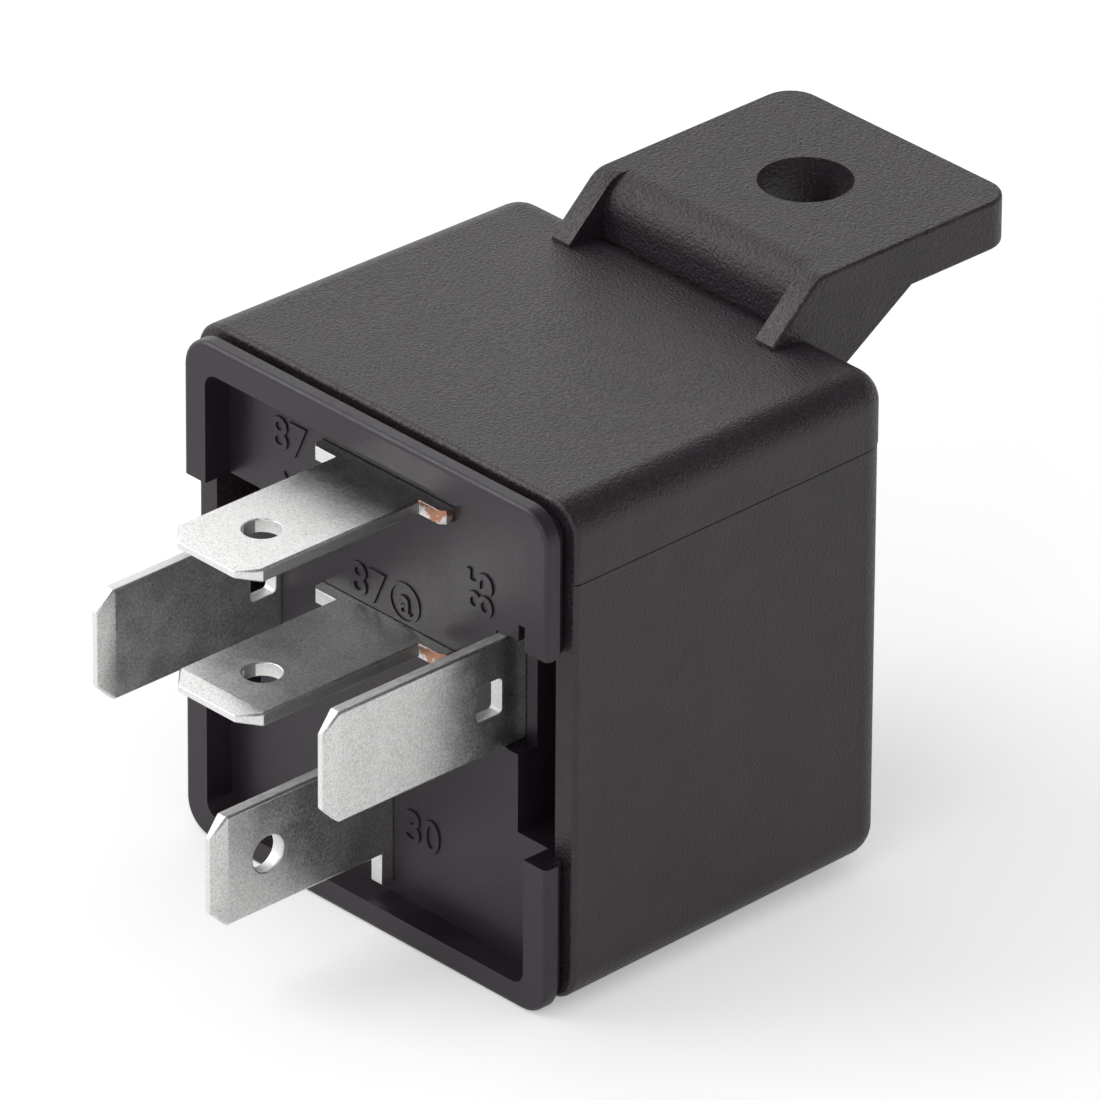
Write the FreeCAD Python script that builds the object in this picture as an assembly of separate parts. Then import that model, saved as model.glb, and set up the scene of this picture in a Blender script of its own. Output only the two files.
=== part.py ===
import FreeCAD, Part
import math
import os
from FreeCAD import Vector

# Automotive change-over relay in a plastic cover with a moulded fixing bracket.
# It lies on its flat side: X runs across the base, Y runs from the blades to the bracket, Z is up.
# The origin lies under the middle of the whole relay, at the height of the lowest edge.
# All sizes are in millimetres. Depths are measured backwards from the cover's open rim and
# heights from the cover's lowest edge. The base's lip reaches a little lower.

# Cover: a drafted box, open at the blade end
cover_width = 28.0
cover_height = 28.5
cover_depth = 22.1
cover_wall = 1.4
cover_draft = 0.85
cover_top_draft = 0.5
cover_bottom_draft = 0.85
cover_edge_radius = 1.8
cover_back_wall = 1.4

# Bracket: a raised tab with two cheeks and a web, moulded in one piece with the cover
tab_width = 16.5
tab_thickness = 2.75
tab_step = 2.85
tab_reach = 13.9
tab_corner_radius = 1.75
tab_edge_radius = 0.3
tab_nose_radius = 1.95
cheek_thickness = 1.4
cheek_foot = 19.0
cheek_crest = 22.1
cheek_root_drop = 3.8
cheek_back = 6.6
web_front = 21.4
web_thickness = 2.1
bracket_hole_radius = 2.5
hole_from_tab_end = 6.95

# Base: a tray with a lip in front of the cover's rim and a plug inside it
lip_front = 1.45
lip_thickness = 0.95
lip_side_inset = 0.5
lip_top_inset = 0.2
lip_drop = 0.45
lip_edge_bevel = 0.3
neck_inset = 0.9
neck_gap = 0.05
tray_depth = 1.7
tray_side_rim = 1.65
tray_top_rim = 1.7
tray_bottom_rim = 1.4
tray_corner_radius = 0.8
tray_wall = 0.4
sill_depth = 1.1
plug_thickness = 2.75
plug_clearance = 0.05
plug_corner_radius = 0.4
window_height = 11.9
window_width = 4.4
skirt_length = 3.0
skirt_width = 13.0
skirt_thickness = 1.1
skirt_clearance = 0.1
lug_height = 0.35
lug_length = 1.4
lug_width = 4.0
lug_clearance = 0.15
standoff_height = 0.5
standoff_width = 1.2

# Blades: tin-plated flat pins
blade_width = 6.3
blade_thickness = 0.8
blade_tip = 12.05
blade_corner = 1.0
blade_edge_bevel = 0.12
tip_bevel_length = 1.1
tip_bevel_depth = 0.22
blade_hole_radius = 1.0
blade_hole_from_tip = 3.75
shoulder_width = 9.7
shoulder_proud = 0.8
slot_clearance = 0.05
coil_blade_pitch = 16.8
height_30 = 6.45
rise_87a_over_mean = 0.85
rise_coil_blades_over_middle = 1.75
root_window_height = 2.0
root_window_length = 1.7
coil_tail_height = 2.0
coil_tail_length = 5.2

# Magnet: yoke, core, bobbin and winding, with the coil's axis along Y
yoke_thickness = 1.5
yoke_width = 13.0
yoke_bottom = 3.2
yoke_bend_radius = 1.2
yoke_foot_margin = 0.2
bobbin_flange = 0.9
bobbin_clearance = 0.1
bobbin_below_contact = 1.5
bobbin_beside_terminal = 0.9
barrel_wall = 0.7
core_spigot_step = 0.9
pole_step = 1.3
pole_thickness = 1.2
winding_depth = 2.1
winding_margin = 0.8
room_behind_pole = 5.25
tongue_rise = 2.0
tongue_height = 3.0
tongue_clearance = 0.03

# Moving parts: armature, contact spring and moving contact
open_angle = 2.5
closed_gap = 0.05
armature_thickness = 1.4
armature_width = 12.6
armature_heel = 3.9
armature_below_contact = 3.5
armature_corner_radius = 1.5
heel_chamfer_height = 0.9
heel_chamfer_depth = 0.8
spring_thickness = 0.3
spring_width = 8.0
spring_tip_width = 5.0
spring_above_contact = 1.9
spring_above_armature = 0.6
spring_bend_radius = 1.8
spring_leg_length = 7.45
spring_gap = 0.05
rivet_pitch = 5.6
rivet_above_heel = 6.1
rivet_radius = 0.8
rivet_head_radius = 1.4
rivet_head_height = 0.5

# Contacts
contact_under_87 = 2.35
contact_radius = 1.6
contact_shank_radius = 0.75
contact_head = 0.7
contact_crown = 0.15
contact_gap = 0.05
fixed_contact_head = 0.8
strip_bend_radius = 0.9
no_leg_width = 5.5
no_leg_drop = 4.2
nc_arm_inner = 4.2
nc_arm_outer = 7.6
nc_arm_under_cover = 1.2
nc_arm_over_87 = 1.35
nc_leg_drop = 5.5
nc_leg_margin = 2.4
riser_top_gap = 0.1

# Coil wire ends and the resistor across the coil
wire_radius = 0.14
wire_ring_gap = 0.1
wire_turns = 4
wire_rise = 12.0
resistor_radius = 1.15
resistor_length = 6.2
resistor_under_87 = 2.95
resistor_behind_yoke = 3.9
resistor_lead_radius = 0.3
resistor_lead_gap = 1.3

# Places worked out from the sizes
half_width = cover_width / 2
tab_front = cover_depth
tab_end = cover_depth + tab_reach
rim = -(tab_end - blade_tip) / 2
tab_top = cover_height + tab_step
tab_bottom = tab_top - tab_thickness
hole_depth = tab_end - hole_from_tab_end
lip_back = lip_front - lip_thickness
floor = tray_depth - lip_front
tray_half = half_width - lip_side_inset - tray_side_rim
tray_low = tray_bottom_rim - lip_drop
tray_high = cover_height - lip_top_inset - tray_top_rim
sill_low = tray_low - tray_wall
plug_back = floor + plug_thickness
plug_half = half_width - cover_wall - plug_clearance
plug_low = cover_wall + plug_clearance
plug_high = cover_height - cover_wall - plug_clearance
skirt_low = plug_low + skirt_clearance
skirt_high = plug_high - skirt_clearance
middle_height = cover_height / 2
window_low = middle_height - window_height / 2
window_high = middle_height + window_height / 2
window_edge = half_width - window_width
shoulder_front = floor - shoulder_proud
nc_arm_height = cover_height - cover_wall - nc_arm_under_cover
height_87 = nc_arm_height - nc_arm_over_87
height_87a = (height_87 + height_30) / 2 + rise_87a_over_mean
height_coil_blades = middle_height + rise_coil_blades_over_middle
coil_blade_x = coil_blade_pitch / 2
contact_height = height_87 - contact_under_87
resistor_height = height_87 - resistor_under_87
yoke_front = plug_back + standoff_height
pole_face = cover_depth - cover_back_wall - room_behind_pole
resistor_depth = yoke_front + yoke_thickness + resistor_behind_yoke
spring_leg_start = pole_face - spring_leg_length
yoke_top = yoke_bottom + yoke_thickness
bobbin_low = yoke_top + bobbin_clearance * 3
bobbin_room_high = contact_height - contact_radius - bobbin_below_contact - bobbin_low
bobbin_room_wide = 2 * (coil_blade_x - blade_thickness / 2 - bobbin_beside_terminal)
bobbin_side = min(bobbin_room_high, bobbin_room_wide)
coil_height = bobbin_low + bobbin_side / 2
winding_radius = bobbin_side / 2 - winding_margin
bobbin_barrel_radius = winding_radius - winding_depth
core_radius = bobbin_barrel_radius - barrel_wall
core_spigot_radius = core_radius - core_spigot_step
pole_radius = core_radius + pole_step
bobbin_front = yoke_front + yoke_thickness + bobbin_clearance
bobbin_back = pole_face - pole_thickness - bobbin_clearance
armature_front = pole_face + closed_gap
armature_back = armature_front + armature_thickness
spring_back = armature_back + spring_thickness
armature_tip = contact_height - armature_below_contact
spring_tip_height = contact_height + spring_above_contact
spring_narrow_from = armature_tip + spring_above_armature
rivet_height = armature_heel + rivet_above_heel
pivot_depth = pole_face
pivot_height = armature_heel
contact_lever = contact_height - pivot_height
contact_throw = (contact_lever + contact_radius) * math.sin(math.radians(open_angle))
no_contact_face = armature_back - contact_head - contact_gap
no_leg_back = no_contact_face - fixed_contact_head
nc_contact_face = spring_back + contact_head + contact_throw + contact_gap
nc_leg_front = nc_contact_face + fixed_contact_head
riser_back = plug_back - riser_top_gap
riser_front = riser_back - blade_thickness


def depth(value):
    """Turn a depth behind the cover's rim into a Y coordinate."""
    return rim + value


def box(x0, x1, d0, d1, z0, z1):
    """Box between two X values, two depths and two heights."""
    return Part.makeBox(x1 - x0, d1 - d0, z1 - z0, Vector(x0, depth(d0), z0))


def rod_y(radius, d0, d1, x, z):
    """Round bar along Y between two depths."""
    return Part.makeCylinder(radius, d1 - d0, Vector(x, depth(d0), z), Vector(0, 1, 0))


def rod_x(radius, x0, x1, d, z):
    """Round bar along X."""
    return Part.makeCylinder(radius, x1 - x0, Vector(x0, depth(d), z), Vector(1, 0, 0))


def rod_z(radius, z0, z1, x, d):
    """Round bar along Z."""
    return Part.makeCylinder(radius, z1 - z0, Vector(x, depth(d), z0), Vector(0, 0, 1))


def side_prism(points, x0, x1):
    """Extrude an outline of (depth, height) points along X."""
    corners = [Vector(x0, depth(d), z) for d, z in points]
    face = Part.Face(Part.makePolygon(corners + corners[:1]))
    return face.extrude(Vector(x1 - x0, 0, 0))


def front_prism(points, d0, d1):
    """Extrude an outline of (x, height) points along Y."""
    corners = [Vector(x, depth(d0), z) for x, z in points]
    face = Part.Face(Part.makePolygon(corners + corners[:1]))
    return face.extrude(Vector(0, d1 - d0, 0))


def plan_prism(points, z0, z1):
    """Extrude an outline of (x, depth) points along Z."""
    corners = [Vector(x, depth(d), z0) for x, d in points]
    face = Part.Face(Part.makePolygon(corners + corners[:1]))
    return face.extrude(Vector(0, 0, z1 - z0))


def round_edges(solid, radius, wanted):
    """Round the edges of a solid that the test picks by their mid point and direction."""
    chosen = []
    for edge in solid.Edges:
        middle = edge.valueAt((edge.FirstParameter + edge.LastParameter) / 2)
        along = (edge.Vertexes[-1].Point - edge.Vertexes[0].Point).normalize()
        if wanted(middle, along):
            chosen.append(edge)
    return solid.makeFillet(radius, chosen)


def bevel_rim(solid, size, d):
    """Bevel every edge of a solid that lies in the plane at one depth."""
    y = depth(d)
    chosen = [edge for edge in solid.Edges
              if abs(edge.BoundBox.YMin - y) < 1e-4 and abs(edge.BoundBox.YMax - y) < 1e-4]
    return solid.makeChamfer(size, chosen)


def rounded_block(x0, x1, d0, d1, z0, z1, radius):
    """Box whose four edges along Y are rounded."""
    block = box(x0, x1, d0, d1, z0, z1)
    return round_edges(block, radius, lambda middle, along: abs(along.y) > 0.9)


def turned(shape, angle):
    """Swing a shape about the armature's pivot. A positive angle closes the contact."""
    copy = shape.copy()
    copy.rotate(Vector(0, depth(pivot_depth), pivot_height), Vector(1, 0, 0), angle)
    return copy


def save(name, shape):
    """Lift a node so that the lip stands on height zero, write it and tell its size."""
    shape.translate(Vector(0, 0, lip_drop))
    solids = shape.Solids
    if not solids or not shape.isValid():
        raise ValueError("bad shape: " + name)
    result = solids[0] if len(solids) == 1 else Part.makeCompound(solids)
    result.exportStep("parts/" + name + ".step")
    print("%-26s solids %d  volume %9.2f" % (name, len(solids), result.Volume))


def drafted_box(inset, front, back):
    """Box along Y that narrows towards the back by the mould's draft."""
    side = math.tan(math.radians(cover_draft))
    top = math.tan(math.radians(cover_top_draft))
    bottom = math.tan(math.radians(cover_bottom_draft))
    near = side * front + inset
    far = side * back + inset
    return Part.makeWedge(-half_width + near, depth(front), bottom * front + inset,
                          bottom * back + inset, -half_width + far,
                          half_width - near, depth(back), cover_height - inset - top * front,
                          cover_height - inset - top * back, half_width - far)


def cover_shell():
    """Thin-walled cover with rounded edges outside and sharp ones in its cavity."""
    outside = drafted_box(0, 0, cover_depth)
    outside = round_edges(outside, cover_edge_radius,
                          lambda middle, along: middle.y > depth(0.1))
    return outside.cut(drafted_box(cover_wall, 0, cover_depth - cover_back_wall))


def lug_positions():
    """Centres of the four snap lugs as (x, height, direction)."""
    spread = skirt_width / 2 - lug_width / 2
    for x in (-spread, spread):
        yield x, skirt_low, -1
        yield x, skirt_high, 1


def lug(x, z, way, grow):
    """Wedge-shaped snap lug. Its pocket in the cover is the same wedge, grown all round."""
    d0 = plug_back + skirt_length - lug_length - 0.3 - grow
    d1 = plug_back + skirt_length - 0.3 + grow
    root = z - way * 0.4
    tip = z + way * (lug_height + grow)
    outline = [(d0, root), (d0, tip), (d1, z + way * grow), (d1, root)]
    return side_prism(outline, x - lug_width / 2 - grow, x + lug_width / 2 + grow)


def bracket():
    """Tab with its two cheeks and the web between them."""
    half = tab_width / 2
    plate = box(-half, half, web_front, tab_end, tab_bottom, tab_top)
    plate = round_edges(plate, tab_corner_radius,
                        lambda middle, along: abs(along.z) > 0.9 and middle.y > depth(tab_front))
    plate = round_edges(plate, tab_nose_radius,
                        lambda middle, along: abs(along.x) > 0.9 and middle.y < depth(web_front + 0.1)
                        and middle.z > tab_top - 0.1)
    foot_height = cover_height - cover_edge_radius
    cheek_outline = [(cheek_foot, cover_height), (cheek_crest, tab_top - 0.1),
                     (tab_end - tab_corner_radius, tab_top - 0.1), (tab_end - tab_corner_radius, tab_bottom),
                     (cover_depth + cheek_back, tab_bottom),
                     (cover_depth, tab_bottom - cheek_root_drop - 0.4),
                     (cover_depth - cover_back_wall, tab_bottom - cheek_root_drop - 0.4),
                     (cover_depth - cover_back_wall, foot_height + 0.2), (cheek_foot, foot_height + 0.2)]
    web_back = web_front + web_thickness
    web_outline = [(web_front, cover_height - 0.6), (web_front, tab_top - tab_nose_radius),
                   (web_back, tab_bottom + 0.5), (web_back, tab_bottom - cheek_root_drop + 1.2),
                   (cover_depth, tab_bottom - cheek_root_drop),
                   (cover_depth - 0.7, tab_bottom - cheek_root_drop)]
    result = plate
    for side in (-1, 1):
        inner = side * (half - cheek_thickness)
        outer = side * half
        cheek = side_prism(cheek_outline, min(inner, outer), max(inner, outer))
        result = result.fuse(cheek)
    result = result.fuse(side_prism(web_outline, -half + 0.2, half - 0.2))
    hole = rod_z(bracket_hole_radius, tab_bottom - 1, tab_top + 1, 0, hole_depth)
    return result.cut(hole)


def sill(grow):
    """The base's lower tray wall, which sits in a rebate of the cover's lower wall."""
    return box(-tray_half - tray_wall - grow, tray_half + tray_wall + grow, -lip_back, sill_depth + grow,
               sill_low - grow, plug_low + 0.2)


def make_cover():
    """Cover and bracket, one moulding, with pockets for the base's snap lugs."""
    shape = cover_shell().fuse(bracket()).cut(sill(plug_clearance))
    for x, z, way in lug_positions():
        shape = shape.cut(lug(x, z, way, lug_clearance))
    return shape.removeSplitter()


def terminal_slots(grow):
    """The openings that the five terminals need in the base."""
    half_slot = blade_thickness / 2 + grow
    wide = shoulder_width / 2 + grow
    narrow = blade_width / 2 + grow
    d0 = -lip_front
    d1 = yoke_front + grow
    slots = []
    for z in (height_87, height_87a):
        slots.append(box(-wide, wide, d0, d1, z - half_slot, z + half_slot))
    slots.append(box(-half_slot, half_slot, d0, d1, height_30 - wide, height_30 + wide))
    for side in (-1, 1):
        x = side * coil_blade_x
        slots.append(box(x - half_slot, x + half_slot, d0, d1,
                         height_coil_blades - narrow, height_coil_blades + narrow))
    return slots


def riser_outline(grow):
    """Outline, in (x, height), of the part of terminal 87a that climbs past terminal 87."""
    inner = nc_arm_inner - grow
    outer = nc_arm_outer + grow
    low = height_87a - blade_thickness / 2 - grow
    half = shoulder_width / 2 + grow
    shelf = height_87a + 3.2 + grow
    top = nc_arm_height + blade_thickness / 2 + grow
    return [(-half, low), (half, low), (half, low + 1.2), (outer, low + 2.4), (outer, top),
            (inner, top), (inner, shelf), (-half, shelf - 1.5)]


def make_base():
    """Base moulding: lip, tray, plug, snap skirts, terminal slots and side windows."""
    lip_half = half_width - lip_side_inset
    lip = rounded_block(-lip_half, lip_half, -lip_front, -lip_back, -lip_drop,
                        cover_height - lip_top_inset, cover_edge_radius)
    lip = bevel_rim(lip, lip_edge_bevel, -lip_front)
    neck_half = half_width - neck_inset
    neck = rounded_block(-neck_half, neck_half, -lip_back, -neck_gap, sill_low,
                         cover_height - neck_inset, cover_edge_radius / 2)
    plug = rounded_block(-plug_half, plug_half, -lip_back, plug_back, plug_low, plug_high,
                         plug_corner_radius)
    shape = lip.fuse(neck).fuse(plug).fuse(sill(0))
    tray = rounded_block(-tray_half, tray_half, -lip_front, floor, tray_low, tray_high,
                         tray_corner_radius)
    shape = shape.cut(tray)
    for z0, z1 in ((skirt_low, skirt_low + skirt_thickness), (skirt_high - skirt_thickness, skirt_high)):
        shape = shape.fuse(box(-skirt_width / 2, skirt_width / 2, plug_back - 0.5,
                               plug_back + skirt_length, z0, z1))
    for x, z, way in lug_positions():
        shape = shape.fuse(lug(x, z, way, 0))
    for side in (-1, 1):
        x = side * (yoke_width / 2 - 1.5)
        shape = shape.fuse(box(x - standoff_width / 2, x + standoff_width / 2, plug_back - 0.1, yoke_front,
                               yoke_bottom, height_87a - blade_thickness))
    for side in (-1, 1):
        inner = side * window_edge
        outer = side * (half_width + 1)
        shape = shape.cut(box(min(inner, outer), max(inner, outer), -lip_front - 1,
                              plug_back + skirt_length + 1, window_low, window_high))
    for slot in terminal_slots(slot_clearance):
        shape = shape.cut(slot)
    shape = shape.cut(front_prism(riser_outline(slot_clearance * 2), riser_front - slot_clearance,
                                  plug_back + 1))
    skirt_notch = box(nc_arm_inner - 0.2, nc_arm_outer + 0.2, riser_front, plug_back + skirt_length + 1,
                      nc_arm_height - blade_thickness, plug_high + 1)
    relief = box(nc_arm_inner - 0.2, nc_arm_outer + 0.2, plug_back - 0.01, plug_back + skirt_length + 1,
                 nc_arm_height - blade_thickness, nc_arm_height + blade_thickness / 2 + 0.1)
    return shape.cut(skirt_notch.common(relief)).removeSplitter()


def flat_blade(width, tip, root):
    """Blade in a flat frame: X across, Y along, Z through, centred, with bevels and a hole."""
    half = width / 2
    outline = plan_prism([(-half, root), (-half, -tip + blade_corner), (-half + blade_corner, -tip),
                          (half - blade_corner, -tip), (half, -tip + blade_corner), (half, root)],
                         -blade_thickness / 2, blade_thickness / 2)
    thin = blade_thickness / 2 - tip_bevel_depth
    full = blade_thickness / 2
    side = side_prism([(root, -full), (-tip + tip_bevel_length, -full), (-tip, -thin), (-tip, thin),
                       (-tip + tip_bevel_length, full), (root, full)], -half, half)
    bevel = blade_edge_bevel
    section = front_prism([(-half, -full + bevel), (-half + bevel, -full), (half - bevel, -full),
                           (half, -full + bevel), (half, full - bevel), (half - bevel, full),
                           (-half + bevel, full), (-half, full - bevel)], -tip, root)
    return outline.common(side).common(section)


def holed(blade):
    """Cut the locking hole through a flat blade."""
    hole = rod_z(blade_hole_radius, -blade_thickness, blade_thickness, 0,
                 -blade_tip + blade_hole_from_tip)
    return blade.cut(hole)


def shouldered_blade(back):
    """Blade with the wide body that shows as two shoulders at its root, in a flat frame."""
    blade = holed(flat_blade(blade_width, blade_tip, shoulder_front + 0.01))
    half = shoulder_width / 2
    body = box(-half, half, shoulder_front, back, -blade_thickness / 2, blade_thickness / 2)
    return blade.fuse(body)


def lay_flat(shape, height):
    """Lift a blade from the flat frame to its height, still horizontal."""
    copy = shape.copy()
    copy.translate(Vector(0, 0, height))
    return copy


def stand_up(shape, x, height):
    """Turn a blade from the flat frame upright and move it to its place."""
    copy = shape.copy()
    copy.rotate(Vector(0, 0, 0), Vector(0, 1, 0), 90)
    copy.translate(Vector(x, 0, height))
    return copy


def contact_hole(d0, d1):
    """Hole for a contact's shank."""
    return rod_y(contact_shank_radius, d0, d1, 0, contact_height)


def make_terminal_87():
    """Normally open terminal: blade, strip over the coil and a leg that holds the fixed contact."""
    half_thick = blade_thickness / 2
    low = height_87 - half_thick
    high = height_87 + half_thick
    shoulder_back = riser_front - 0.3
    shape = lay_flat(shouldered_blade(shoulder_back), height_87)
    half = blade_width / 2
    leg_front = no_leg_back - blade_thickness
    angle = side_prism([(shoulder_back - 0.2, low), (shoulder_back - 0.2, high), (no_leg_back, high),
                        (no_leg_back, contact_height - no_leg_drop / 2),
                        (leg_front, contact_height - no_leg_drop / 2), (leg_front, low)], -half, half)
    angle = round_edges(angle, strip_bend_radius,
                        lambda middle, along: abs(along.x) > 0.9 and middle.z > high - 0.1
                        and middle.y > depth(no_leg_back - 0.1))
    for side in (-1, 1):
        inner = side * no_leg_width / 2
        outer = side * (half + 1)
        angle = angle.cut(box(min(inner, outer), max(inner, outer), leg_front - 2, no_leg_back + 1,
                              0, low - 0.2))
    shape = shape.fuse(angle)
    return shape.cut(contact_hole(leg_front - 1, no_leg_back + 1)).removeSplitter()


def make_terminal_87a():
    """Normally closed terminal: blade, riser behind the base, arm beside 87 and a leg at the back."""
    half_thick = blade_thickness / 2
    shape = lay_flat(shouldered_blade(riser_back), height_87a)
    riser = front_prism(riser_outline(0), riser_front, riser_back)
    leg_back = nc_leg_front + blade_thickness
    arm = box(nc_arm_inner, nc_arm_outer, riser_front, leg_back, nc_arm_height - half_thick,
              nc_arm_height + half_thick)
    leg_low = contact_height - nc_leg_drop / 2 + 0.6
    top = nc_arm_height + half_thick
    leg = front_prism([(-nc_leg_margin, leg_low), (nc_leg_margin, leg_low), (nc_arm_outer, leg_low + 2.6),
                       (nc_arm_outer, top), (nc_arm_inner, top), (nc_arm_inner - 1.2, top - 1.8),
                       (-nc_leg_margin, top - 1.8)], nc_leg_front, leg_back)
    shape = shape.fuse(riser).fuse(arm).fuse(leg)
    return shape.cut(contact_hole(nc_leg_front - 1, leg_back + 1)).removeSplitter()


def make_terminal_30():
    """Common terminal: upright blade whose tongue is staked into the yoke's foot."""
    shape = stand_up(shouldered_blade(yoke_front), 0, height_30)
    tongue_low = yoke_bottom + tongue_rise
    tongue = box(-blade_thickness / 2, blade_thickness / 2, yoke_front - 0.2, yoke_front + yoke_thickness,
                 tongue_low, tongue_low + tongue_height)
    return shape.fuse(tongue).removeSplitter()


def make_coil_terminal(side):
    """Upright coil blade with a window at its root and a narrow tail for the coil's wire."""
    blade = flat_blade(blade_width, blade_tip, plug_back)
    shape = stand_up(blade, side * coil_blade_x, height_coil_blades)
    half_thick = blade_thickness / 2
    x = side * coil_blade_x
    window_z = height_coil_blades
    shape = shape.cut(box(x - 1, x + 1, floor - root_window_length - 0.4, floor - 0.4,
                          window_z - root_window_height / 2, window_z + root_window_height / 2))
    tail = box(x - half_thick, x + half_thick, plug_back - 0.1, plug_back + coil_tail_length,
               window_z - coil_tail_height / 2, window_z + coil_tail_height / 2)
    return shape.fuse(tail).removeSplitter()


def contact_button(d_face, d_back):
    """Round contact head whose face has a slight bevel."""
    low = min(d_face, d_back)
    high = max(d_face, d_back)
    return bevel_rim(rod_y(contact_radius, low, high, 0, contact_height), contact_crown, d_face)


def make_fixed_contact(face, seat, strip_far):
    """Fixed contact: a head on its strip and a shank staked flush at the strip's other side."""
    head = contact_button(face, seat)
    shank = rod_y(contact_shank_radius, min(seat, strip_far), max(seat, strip_far), 0, contact_height)
    return head.fuse(shank).removeSplitter()


def make_moving_contact():
    """Moving contact: a double-headed rivet through the spring's tip."""
    front = contact_button(armature_back - contact_head, armature_back)
    back = contact_button(spring_back + contact_head, spring_back)
    shank = contact_hole(armature_back, spring_back)
    return turned(front.fuse(shank).fuse(back).removeSplitter(), -open_angle)


def make_yoke():
    """L-shaped yoke with the core's hole and the slot for terminal 30's tongue."""
    half = yoke_width / 2
    foot_top = yoke_bottom + bobbin_side - yoke_foot_margin
    outline = [(yoke_front, yoke_bottom), (pole_face, yoke_bottom), (pole_face, yoke_top),
               (yoke_front + yoke_thickness, yoke_top), (yoke_front + yoke_thickness, foot_top),
               (yoke_front, foot_top)]
    shape = side_prism(outline, -half, half)
    shape = round_edges(shape, yoke_bend_radius,
                        lambda middle, along: abs(along.x) > 0.9 and middle.z < yoke_bottom + 0.1
                        and middle.y < depth(yoke_front + 0.1))
    shape = shape.cut(rod_y(core_spigot_radius, yoke_front - 1, yoke_front + yoke_thickness + 1, 0,
                            coil_height))
    slot = blade_thickness / 2 + tongue_clearance
    low = yoke_bottom + tongue_rise - tongue_clearance
    high = yoke_bottom + tongue_rise + tongue_height + tongue_clearance
    return shape.cut(box(-slot, slot, yoke_front - 1, yoke_front + yoke_thickness + 1, low, high))


def make_core():
    """Iron core: spigot in the yoke, shaft through the bobbin and a wide pole."""
    spigot = rod_y(core_spigot_radius, yoke_front, yoke_front + yoke_thickness, 0, coil_height)
    shaft = rod_y(core_radius, yoke_front + yoke_thickness, pole_face, 0, coil_height)
    pole = rod_y(pole_radius, pole_face - pole_thickness, pole_face, 0, coil_height)
    return spigot.fuse(shaft).fuse(pole).removeSplitter()


def make_bobbin():
    """Plastic bobbin: a barrel between two square flanges."""
    half = bobbin_side / 2
    shape = rod_y(bobbin_barrel_radius, bobbin_front, bobbin_back, 0, coil_height)
    for d0 in (bobbin_front, bobbin_back - bobbin_flange):
        flange = rounded_block(-half, half, d0, d0 + bobbin_flange, coil_height - half,
                               coil_height + half, 1.0)
        shape = shape.fuse(flange)
    bore = rod_y(core_radius + bobbin_clearance / 2, bobbin_front - 1, bobbin_back + 1, 0, coil_height)
    return shape.cut(bore).removeSplitter()


def make_winding():
    """Copper winding as one sleeve between the bobbin's flanges."""
    d0 = bobbin_front + bobbin_flange
    d1 = bobbin_back - bobbin_flange
    outside = rod_y(winding_radius, d0, d1, 0, coil_height)
    return outside.cut(rod_y(bobbin_barrel_radius, d0 - 1, d1 + 1, 0, coil_height))


def make_armature():
    """Flat armature with a chamfered heel and two rivet holes, standing open."""
    half = armature_width / 2
    outline = [(armature_front, armature_heel), (armature_back - heel_chamfer_depth, armature_heel),
               (armature_back, armature_heel + heel_chamfer_height), (armature_back, armature_tip),
               (armature_front, armature_tip)]
    shape = side_prism(outline, -half, half)
    shape = round_edges(shape, armature_corner_radius,
                        lambda middle, along: abs(along.y) > 0.9 and middle.z > armature_tip - 0.1)
    for x in (-rivet_pitch / 2, rivet_pitch / 2):
        shape = shape.cut(rod_y(rivet_radius, armature_front - 1, armature_back + 1, x, rivet_height))
    return turned(shape, -open_angle)


def make_armature_rivets():
    """Two rivets that hold the spring on the armature."""
    solids = []
    for x in (-rivet_pitch / 2, rivet_pitch / 2):
        shank = rod_y(rivet_radius, armature_front + 0.1, spring_back, x, rivet_height)
        head = rod_y(rivet_head_radius, spring_back, spring_back + rivet_head_height, x, rivet_height)
        solids.append(turned(shank.fuse(head).removeSplitter(), -open_angle))
    return Part.makeCompound(solids)


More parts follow.
